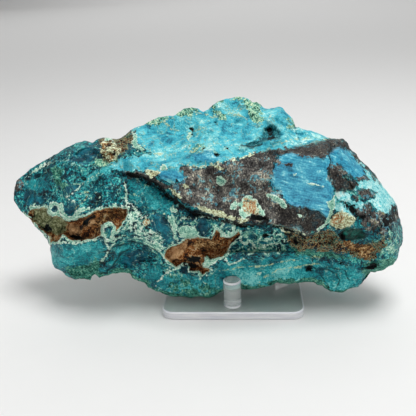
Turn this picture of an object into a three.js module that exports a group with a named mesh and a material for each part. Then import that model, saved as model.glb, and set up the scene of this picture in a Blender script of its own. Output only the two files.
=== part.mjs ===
// A chrysocolla specimen leaning on a clear acrylic three-peg display stand.
// Millimetres. X runs to the right, Y away from the viewer, Z up.
// The origin is the centre of the base plate's underside.
import * as THREE from 'three';
import { mergeVertices } from 'three/addons/utils/BufferGeometryUtils.js';

// ---- driving dimensions ----
const GAP = 0.3; // air left between pieces that touch

const BASE_WIDTH = 76.2;
const BASE_DEPTH = 63.5;
const BASE_THICK = 4.5;
const BASE_CORNER = 5;
const BASE_EDGE = 0.8; // the flame-polished round along every edge

const PEG_DIAMETER = 9.525;
const PEG_HEIGHT = 15.2;
const PEG_ROUND = 1.2; // round on both ends of a peg
const PEG_INSET = 7.95; // peg axis to the plate's front or rear edge
const PEG_REAR_SPREAD = 40; // between the two rear pegs

const STONE_LEAN = 20; // degrees the slab leans back from upright
const STONE_CENTRE = [-11, 1.2, 57.1]; // origin of the slab's own frame
const STONE_FRONT = 31; // how far the front face stands out of the slab plane
const STONE_BACK = 28.4; // and the back face
const STONE_TAPER = { a: 22.4, b: 0.2, height: 319.6 }; // the front narrows towards this point
const EDGE_ROUND = 8; // the worn round along the outline
const ARRIS_ROUND = 1.6; // softness of the arrises where two faces meet
const TOE_DEPTH = 4.2; // least thickness on either side of the slab plane, just inside the outline
const TOE_SLOPE = 0.25; // how fast that grows up the foot in front
const LEDGE_STEP = 3.6; // how far the upper block stands over the lower front
const HOLLOW_DEPTH = 4; // depth of the two iron-stained hollows
const FLAKE_DEPTH = 1.1; // depth of the shallow dishes left by broken flakes

const COLUMNS = 66; // grid cells along the slab
const ROWS = 30; // and up it
const CROWDING = 0.4; // how much the grid closes up towards the outline

// ---- the stone's outline in the slab plane: a to the right, b up the slab ----
const FOOT = [
  [-88.4, -38.4], [-81.3, -43.3], [-77.6, -44.6], [-68.6, -44.8], [-66, -42], [-63.7, -43.6],
  [-55.7, -41.2], [-46, -41.4], [-38, -46.8], [-32, -51.3], [-23, -54.6], [-12, -55],
  [-2.7, -55.5], [5.5, -51.5], [15.6, -50.3], [25, -50], [35.1, -46.9], [44.5, -47.3],
  [55, -46.7], [61.3, -50.2], [69, -52.5], [79, -49.2], [82.2, -43.7], [88.5, -41.3], [93.3, -39.6],
];
const RIGHT_END = [
  [93.3, -39.6], [97.7, -36.9], [100.2, -33.2], [101, -28], [102.7, -23], [101.8, -15.2],
  [99.8, -5.8], [93.8, 3], [87.7, 12], [80.8, 18.8], [78.5, 22.3],
];
const CREST = [
  [-90.3, 23.9], [-80.2, 29.8], [-70, 32.9], [-62, 33.9], [-50, 33.9], [-44.6, 38], [-35.4, 42],
  [-28.4, 45.1], [-20.2, 45.7], [-10.2, 50], [-4, 47.2], [4, 52.8], [16, 55], [22, 53],
  [29.2, 48.2], [38.3, 49], [44.2, 43], [46, 37.6], [54.7, 35.6], [65.3, 31], [71.5, 30.9],
  [75.6, 24.7], [78.5, 22.3],
];
const LEFT_END = [
  [-88.4, -38.4], [-91.3, -30], [-91.4, -25.8], [-95.5, -18.6], [-101.3, -13], [-108.4, -5.4],
  [-112, 0.2], [-110.4, 11], [-100.2, 19], [-90.3, 23.9],
];
const OUTLINE = [
  ...FOOT, ...RIGHT_END.slice(1), ...CREST.slice(0, -1).reverse(), ...LEFT_END.slice(1, -1).reverse(),
];

// Broken faces as planes: depth at a plan point, and the depth's slope along a and b.
const FRONT_FACES = [
  { at: [20, 5], depth: STONE_FRONT, slope: [0.03, 0.02] }, // main front
  { at: [0, 18.5], depth: STONE_FRONT, slope: [0.14, -0.97] }, // upward face along the crest
  { at: [0, -20], depth: STONE_FRONT - 4, slope: [0, 0.95] }, // undercut front foot
  { at: [-52, 0], depth: STONE_FRONT, slope: [0.46, 0] }, // left end
  { at: [64, 15], depth: STONE_FRONT, slope: [-0.42, -0.12] }, // blue facet beside the panel
  { at: [80, 5], depth: STONE_FRONT - 7, slope: [-0.85, -0.45] }, // sloping right shoulder
  { at: [-60, 20], depth: STONE_FRONT - 4, slope: [0.3, -0.8] }, // left shoulder
];
const BACK_FACES = [
  { at: [10, 0], depth: STONE_BACK, slope: [-0.03, -0.03] }, // main back
  { at: [0, 24], depth: STONE_BACK, slope: [0.1, -0.8] }, // back of the crest
  { at: [0, -35.5], depth: STONE_BACK, slope: [0, 1.1] }, // back of the foot
  { at: [-46, 0], depth: STONE_BACK, slope: [0.38, 0.06] }, // left end
  { at: [58, 0], depth: STONE_BACK, slope: [-0.52, -0.1] }, // right end
  { at: [-30, -22], depth: STONE_BACK - 1, slope: [0.32, 0.36] }, // a corner knocked off
];

// The step line under the upper block, left to right: it fades out past both ends and above the foot.
const LEDGE = [
  [-52, 15], [-35, 11], [-22, 3], [-10, -5], [0, -8], [12, -11], [30, -14], [45, -17], [64, -19],
];
const LEDGE_FADE = { left: [-60, -44], right: [58, 72], foot: [-46, -30] };

// The two hollows as ovals: centre, half sizes, and turn in degrees.
const HOLLOWS = [
  { at: [-72, -14], half: [28, 8], turn: -4 },
  { at: [-8, -31], half: [21, 9], turn: 12 },
];

const smooth = (low, high, x) => THREE.MathUtils.smoothstep(x, low, high);

// Soft minimum: the lowest value, rounded off over about the softness where two are close.
function softMinimum(values, softness) {
  const lowest = Math.min(...values);
  const sum = values.reduce((total, v) => total + Math.exp((lowest - v) / softness), 0);
  return lowest - softness * Math.log(sum);
}

// A point at a fraction of the way along a polyline, by length.
function pointAlong(line, fraction) {
  const lengths = line.slice(1).map((p, i) => Math.hypot(p[0] - line[i][0], p[1] - line[i][1]));
  let left = fraction * lengths.reduce((total, l) => total + l, 0);
  let i = 0;
  while (i < lengths.length - 1 && left > lengths[i]) {
    left -= lengths[i];
    i += 1;
  }
  const t = Math.min(left / lengths[i], 1);
  return [0, 1].map((k) => line[i][k] + t * (line[i + 1][k] - line[i][k]));
}

// Shortest distance from a plan point to the outline.
function distanceToOutline(a, b) {
  let best = Infinity;
  OUTLINE.forEach((p, i) => {
    const q = OUTLINE[(i + 1) % OUTLINE.length];
    const [da, db] = [q[0] - p[0], q[1] - p[1]];
    const t = THREE.MathUtils.clamp(((a - p[0]) * da + (b - p[1]) * db) / (da * da + db * db), 0, 1);
    best = Math.min(best, Math.hypot(a - p[0] - t * da, b - p[1] - t * db));
  });
  return best;
}

// Height of the ledge line at a, by straight runs between its points.
function ledgeAt(a) {
  const x = THREE.MathUtils.clamp(a, LEDGE[0][0], LEDGE.at(-1)[0]);
  const i = Math.max(1, LEDGE.findIndex((p) => p[0] >= x));
  const [p, q] = [LEDGE[i - 1], LEDGE[i]];
  return p[1] + ((x - p[0]) / (q[0] - p[0])) * (q[1] - p[1]);
}

// How deep into a hollow a plan point is: 1 over its floor, 0 outside its oval.
function hollowAt({ at, half, turn }, a, b) {
  const angle = THREE.MathUtils.degToRad(turn);
  const [da, db] = [a - at[0], b - at[1]];
  const along = (da * Math.cos(angle) + db * Math.sin(angle)) / half[0];
  const across = (db * Math.cos(angle) - da * Math.sin(angle)) / half[1];
  return 1 - smooth(0.7, 1.1, Math.hypot(along, across));
}

// Shallow dishes left by broken flakes: two crossing waves, folded so that their crests are sharp.
function flakes(a, b, phase) {
  const first = Math.abs(Math.sin(a / 17 + b / 39 + phase));
  const second = Math.abs(Math.sin(b / 13 - a / 52 + 2 * phase));
  return FLAKE_DEPTH * (first + second - 4 / Math.PI);
}

// Depth of the body that a set of broken faces bounds.
function facesDepth(faces, a, b) {
  const depths = faces.map(({ at, depth, slope }) => depth + slope[0] * (a - at[0]) + slope[1] * (b - at[1]));
  return softMinimum(depths, ARRIS_ROUND);
}

// A quarter round over EDGE_ROUND from the outline, then flat.
function edgeRise(a, b) {
  const inward = Math.min(distanceToOutline(a, b) / EDGE_ROUND, 1);
  return Math.sqrt(1 - (1 - inward) ** 2);
}

// Depth in front of the slab plane: the broken faces, the ledge's step and the hollows.
function frontDepth(a, b) {
  const { left, right, foot } = LEDGE_FADE;
  const span = smooth(...left, a) * (1 - smooth(...right, a)) * smooth(...foot, b);
  const below = 1 - smooth(-LEDGE_STEP / 2, LEDGE_STEP / 2, b - ledgeAt(a));
  const hollow = HOLLOWS.reduce((deepest, one) => Math.max(deepest, hollowAt(one, a, b)), 0);
  const body = facesDepth(FRONT_FACES, a, b) - flakes(a, b, 0.4);
  const cut = LEDGE_STEP * span * below + HOLLOW_DEPTH * hollow;
  const toe = TOE_DEPTH + TOE_SLOPE * Math.min(b - foot[0], 0);
  return edgeRise(a, b) * Math.max(body - cut, toe);
}

// Depth behind the slab plane.
function backDepth(a, b) {
  return edgeRise(a, b) * Math.max(facesDepth(BACK_FACES, a, b) - flakes(a, b, 1.9), TOE_DEPTH);
}

// Coons patch: each pair of facing sides blended across, less the blend of the four corners.
function planPoint(u, v) {
  const [foot, crest] = [pointAlong(FOOT, u), pointAlong(CREST, u)];
  const [left, right] = [pointAlong(LEFT_END, v), pointAlong(RIGHT_END, v)];
  const corners = [FOOT[0], FOOT.at(-1), CREST[0], CREST.at(-1)];
  return [0, 1].map((k) => {
    const blended = (1 - v) * foot[k] + v * crest[k] + (1 - u) * left[k] + u * right[k];
    const low = (1 - u) * corners[0][k] + u * corners[1][k];
    const high = (1 - u) * corners[2][k] + u * corners[3][k];
    return blended - (1 - v) * low - v * high;
  });
}

// Front and back shells over the same grid, which share the points of the outline.
function stoneGeometry() {
  const crowd = (s) => s - (CROWDING * Math.sin(2 * Math.PI * s)) / (2 * Math.PI);
  const positions = [];
  for (const side of [1, -1]) {
    for (let j = 0; j <= ROWS; j++) {
      for (let i = 0; i <= COLUMNS; i++) {
        const [a, b] = planPoint(crowd(i / COLUMNS), crowd(j / ROWS));
        const onRim = i === 0 || j === 0 || i === COLUMNS || j === ROWS;
        const c = onRim ? 0 : side > 0 ? frontDepth(a, b) : backDepth(a, b);
        const narrowing = side > 0 ? c / STONE_TAPER.height : 0;
        positions.push(a + narrowing * (STONE_TAPER.a - a), b + narrowing * (STONE_TAPER.b - b), side * c);
      }
    }
  }
  const indices = [];
  const shellSize = (COLUMNS + 1) * (ROWS + 1);
  for (let j = 0; j < ROWS; j++) {
    for (let i = 0; i < COLUMNS; i++) {
      const p = j * (COLUMNS + 1) + i;
      const [q, r, s] = [p + 1, p + COLUMNS + 2, p + COLUMNS + 1];
      indices.push(p, q, r, p, r, s);
      indices.push(...[p, r, q, p, s, r].map((k) => k + shellSize));
    }
  }
  const geometry = new THREE.BufferGeometry();
  geometry.setAttribute('position', new THREE.Float32BufferAttribute(positions, 3));
  geometry.setIndex(indices);
  const closed = mergeVertices(geometry, 1e-3);
  closed.computeVertexNormals();
  return closed;
}

// The plate: a rounded rectangle with a polished round along its upper and lower edges.
function plateGeometry() {
  const [w, d, r] = [BASE_WIDTH / 2 - BASE_EDGE, BASE_DEPTH / 2 - BASE_EDGE, BASE_CORNER - BASE_EDGE];
  const outline = new THREE.Shape();
  outline.absarc(w - r, d - r, r, 0, Math.PI / 2);
  outline.absarc(r - w, d - r, r, Math.PI / 2, Math.PI);
  outline.absarc(r - w, r - d, r, Math.PI, 1.5 * Math.PI);
  outline.absarc(w - r, r - d, r, 1.5 * Math.PI, 2 * Math.PI);
  const plate = new THREE.ExtrudeGeometry(outline, {
    depth: BASE_THICK - 2 * BASE_EDGE,
    bevelThickness: BASE_EDGE,
    bevelSize: BASE_EDGE,
    bevelSegments: 3,
    curveSegments: 6,
  });
  return plate.translate(0, 0, BASE_EDGE);
}

// A peg: a rod whose two ends are rounded over, turned about its axis.
function pegGeometry() {
  const radius = PEG_DIAMETER / 2;
  const steps = 3;
  const profile = [new THREE.Vector2(0, 0)];
  for (const [height, start] of [[PEG_ROUND, -Math.PI / 2], [PEG_HEIGHT - PEG_ROUND, 0]]) {
    for (let k = 0; k <= steps; k++) {
      const angle = start + (k / steps) * (Math.PI / 2);
      const across = radius - PEG_ROUND + PEG_ROUND * Math.cos(angle);
      profile.push(new THREE.Vector2(across, height + PEG_ROUND * Math.sin(angle)));
    }
  }
  profile.push(new THREE.Vector2(0, PEG_HEIGHT));
  return new THREE.LatheGeometry(profile, 24).rotateX(Math.PI / 2);
}

const stoneMaterial = new THREE.MeshStandardMaterial({ color: 0x2b8c92, roughness: 0.6, metalness: 0 });
const acrylic = { color: 0xe8eef0, roughness: 0.03, metalness: 0, transparent: true, opacity: 0.3 };

function named(name, geometry, material, position = [0, 0, 0]) {
  const mesh = new THREE.Mesh(geometry, material);
  mesh.name = name;
  mesh.position.set(...position);
  return mesh;
}

const specimen = named('specimen', stoneGeometry(), stoneMaterial, STONE_CENTRE);
// The slab's own b axis leans back from upright, and its c axis faces the viewer and upwards.
specimen.rotation.x = THREE.MathUtils.degToRad(90 - STONE_LEAN);

const pegLine = BASE_DEPTH / 2 - PEG_INSET;
const pegPlaces = {
  peg_front: [0, -pegLine],
  peg_back_left: [-PEG_REAR_SPREAD / 2, pegLine],
  peg_back_right: [PEG_REAR_SPREAD / 2, pegLine],
};

const part = new THREE.Group();
part.add(specimen);
part.add(named('stand_base', plateGeometry(), new THREE.MeshStandardMaterial(acrylic)));
for (const [name, [x, y]] of Object.entries(pegPlaces)) {
  part.add(named(name, pegGeometry(), new THREE.MeshStandardMaterial(acrylic), [x, y, BASE_THICK + GAP]));
}

export default part;
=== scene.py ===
"""A chrysocolla specimen leaning on a clear acrylic peg stand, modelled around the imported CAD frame.

Lengths are millimetres, and points become metres only when they enter a mesh. The stone is worked out in
its slab frame, where a runs to the right, b up the leaning slab and c out of its front.
"""
import itertools
import math

import bpy
import numpy as np
from bpy.props import FloatProperty, FloatVectorProperty, IntProperty, PointerProperty
from mathutils import Matrix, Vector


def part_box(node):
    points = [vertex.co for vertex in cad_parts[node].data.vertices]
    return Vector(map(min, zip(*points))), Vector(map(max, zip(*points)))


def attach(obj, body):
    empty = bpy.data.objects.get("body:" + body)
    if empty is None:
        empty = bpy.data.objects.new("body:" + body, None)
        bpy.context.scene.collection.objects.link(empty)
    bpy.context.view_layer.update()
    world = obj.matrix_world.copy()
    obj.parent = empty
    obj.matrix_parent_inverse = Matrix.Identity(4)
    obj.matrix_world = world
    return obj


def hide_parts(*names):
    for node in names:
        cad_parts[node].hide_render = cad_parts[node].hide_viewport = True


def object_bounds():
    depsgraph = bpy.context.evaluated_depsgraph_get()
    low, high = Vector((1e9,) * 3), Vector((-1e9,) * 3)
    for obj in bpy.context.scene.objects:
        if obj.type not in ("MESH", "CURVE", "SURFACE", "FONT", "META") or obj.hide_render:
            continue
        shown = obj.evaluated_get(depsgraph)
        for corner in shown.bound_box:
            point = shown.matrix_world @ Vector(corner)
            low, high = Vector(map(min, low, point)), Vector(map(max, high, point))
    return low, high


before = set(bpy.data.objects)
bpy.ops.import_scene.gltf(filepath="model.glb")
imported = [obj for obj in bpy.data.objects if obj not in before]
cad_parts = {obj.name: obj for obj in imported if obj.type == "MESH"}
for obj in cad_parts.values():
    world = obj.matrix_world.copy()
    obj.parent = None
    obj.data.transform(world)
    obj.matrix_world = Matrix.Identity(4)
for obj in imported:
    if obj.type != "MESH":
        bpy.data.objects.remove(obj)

bl_info = {
    "name": "Chrysocolla Specimen",
    "version": (1, 0, 0),
    "blender": (4, 5, 0),
    "location": "View3D > Sidebar > Specimen",
    "description": "Builds a chrysocolla slab, its clear peg stand and a studio stage",
    "category": "Add Mesh",
}

MM = 0.001
FLOOR_GAP = 0.1 * MM  # keeps the plate's underside and the paper apart
CAD_BOX = [list(corner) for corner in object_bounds()]
STONE_BOX = [np.array(corner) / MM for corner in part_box("specimen")]
PLATE_BOX = [np.array(corner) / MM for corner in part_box("stand_base")]
PEG_NODES = ("peg_front", "peg_back_left", "peg_back_right")

# How much of a face's normal points up or down tells flats, rounds and cut edges of the stand apart.
FLAT_FROM = 0.97
CUT_TO = 0.1
PEG_END_FROM = 0.9

# The stone's outline in the slab frame, as four sides that meet at its corners.
FOOT = [
    (-88.4, -38.4), (-84.9, -40), (-81.3, -43.3), (-77.6, -44.6), (-71.6, -44.3), (-68.6, -44.9),
    (-68.1, -43.3), (-66, -41.9), (-63.7, -43.6), (-60.2, -42.6), (-55.7, -41.2), (-48.6, -40.9),
    (-46, -41.5), (-44.5, -44.2), (-38, -46.8), (-35.8, -49.4), (-32, -51.3), (-26.4, -53.2),
    (-23, -54.6), (-17.5, -54.4), (-12, -55), (-8, -54.3), (-5.6, -54.6), (-2.7, -55.5), (1.2, -53.8),
    (5.5, -51.5), (10, -50.6), (15.6, -50.3), (19.2, -50.8), (25, -50), (31.4, -48.9), (35.1, -46.9),
    (40, -47.6), (44.5, -47.3), (50.2, -46.6), (55, -46.7), (57, -48.1), (59.5, -48.4), (61.3, -50.2),
    (64.6, -51.8), (69, -52.5), (71.8, -51.7), (74.7, -50), (79, -49.2), (80.8, -46.7), (82.2, -43.7),
    (85, -41.5), (88.5, -41.3), (93.3, -39.6),
]
RIGHT_END = [
    (93.3, -39.6), (97.7, -36.9), (100.2, -33.2), (101, -28), (102.3, -26.4), (102.7, -23),
    (101.8, -15.2), (100.5, -11), (99.8, -5.8), (97.2, -1.3), (93.8, 3), (91, 7), (87.7, 12),
    (85, 15.2), (80.8, 18.8), (78.5, 22.3),
]
CREST = [
    (-90.3, 23.9), (-85.2, 26.9), (-80.2, 29.8), (-75.2, 31.9), (-70, 32.9), (-66, 31.9), (-62, 33.9),
    (-58, 34.2), (-54, 33.4), (-50, 33.9), (-47.3, 35.5), (-44.6, 38), (-40.2, 40.1), (-35.4, 42),
    (-31.8, 43.7), (-28.4, 45.1), (-20.2, 45.7), (-17.8, 47.3), (-14, 49.4), (-10.2, 50), (-6.8, 49),
    (-4, 47.2), (-1.4, 48.3), (0.6, 50.2), (4, 52.8), (8, 53.9), (12, 54.5), (16, 55), (19, 54.3),
    (22, 53), (22.8, 51.7), (25.2, 51.9), (27.7, 50.5), (29.2, 48.2), (31.7, 48.1), (36.2, 48.8),
    (38.3, 49), (39.8, 47.7), (42, 45.2), (44.2, 43), (45.6, 40.2), (46, 37.5), (48, 37.7),
    (50.3, 36.5), (54.7, 35.6), (60, 33.2), (65.3, 31), (68.5, 30.8), (71.5, 30.9), (73.3, 29.4),
    (74.5, 27.1), (75.6, 24.7), (78.5, 22.3),
]
LEFT_END = [
    (-88.4, -38.4), (-90.7, -35), (-91.3, -30), (-91.4, -25.8), (-93.2, -22.3), (-95.5, -18.6),
    (-99.6, -15), (-102.8, -10.4), (-105.8, -8.2), (-108.4, -5.4), (-110, -2.5), (-112, 0.2),
    (-111.5, 6.5), (-110.4, 11), (-105, 15.3), (-100.2, 19), (-95, 21.5), (-90.3, 23.9),
]
OUTLINE = FOOT + RIGHT_END[1:] + CREST[-2::-1] + LEFT_END[-2:0:-1]

# Broken faces as planes: a plan point, the depth there, and the depth's slopes along a and b.
FRONT_FACES = [
    ((20, 5), 31, (0.03, 0.02)),  # main front
    ((0, 18.5), 31, (0.14, -0.97)),  # upward face along the crest
    ((0, -20), 27, (0, 0.95)),  # undercut front foot
    ((-52, 0), 31, (0.46, 0)),  # left end
    ((64, 15), 31, (-0.42, -0.12)),  # blue facet beside the panel
    ((80, 5), 24, (-0.85, -0.45)),  # sloping right shoulder
    ((-60, 20), 27, (0.3, -0.8)),  # left shoulder
]
BACK_FACES = [
    ((10, 0), 28.4, (-0.03, -0.03)),  # main back
    ((0, 24), 28.4, (0.1, -0.8)),  # back of the crest
    ((0, -35.5), 28.4, (0, 1.1)),  # back of the foot
    ((-46, 0), 28.4, (0.38, 0.06)),  # left end
    ((58, 0), 28.4, (-0.52, -0.1)),  # right end
    ((-30, -22), 27.4, (0.32, 0.36)),  # a corner knocked off
]

# The step under the upper block, left to right.
LEDGE = [
    (-52, 15.4), (-47, 14.9), (-35, 11.7), (-28.5, 7.1), (-23, 2), (-16, -3.6), (-8.6, -7.6), (-1, -9.6),
    (7.5, -11.6), (14.7, -13.9), (23.6, -14.9), (32, -14.8), (43.5, -17.8), (50.6, -21.4), (64, -19),
]

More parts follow.
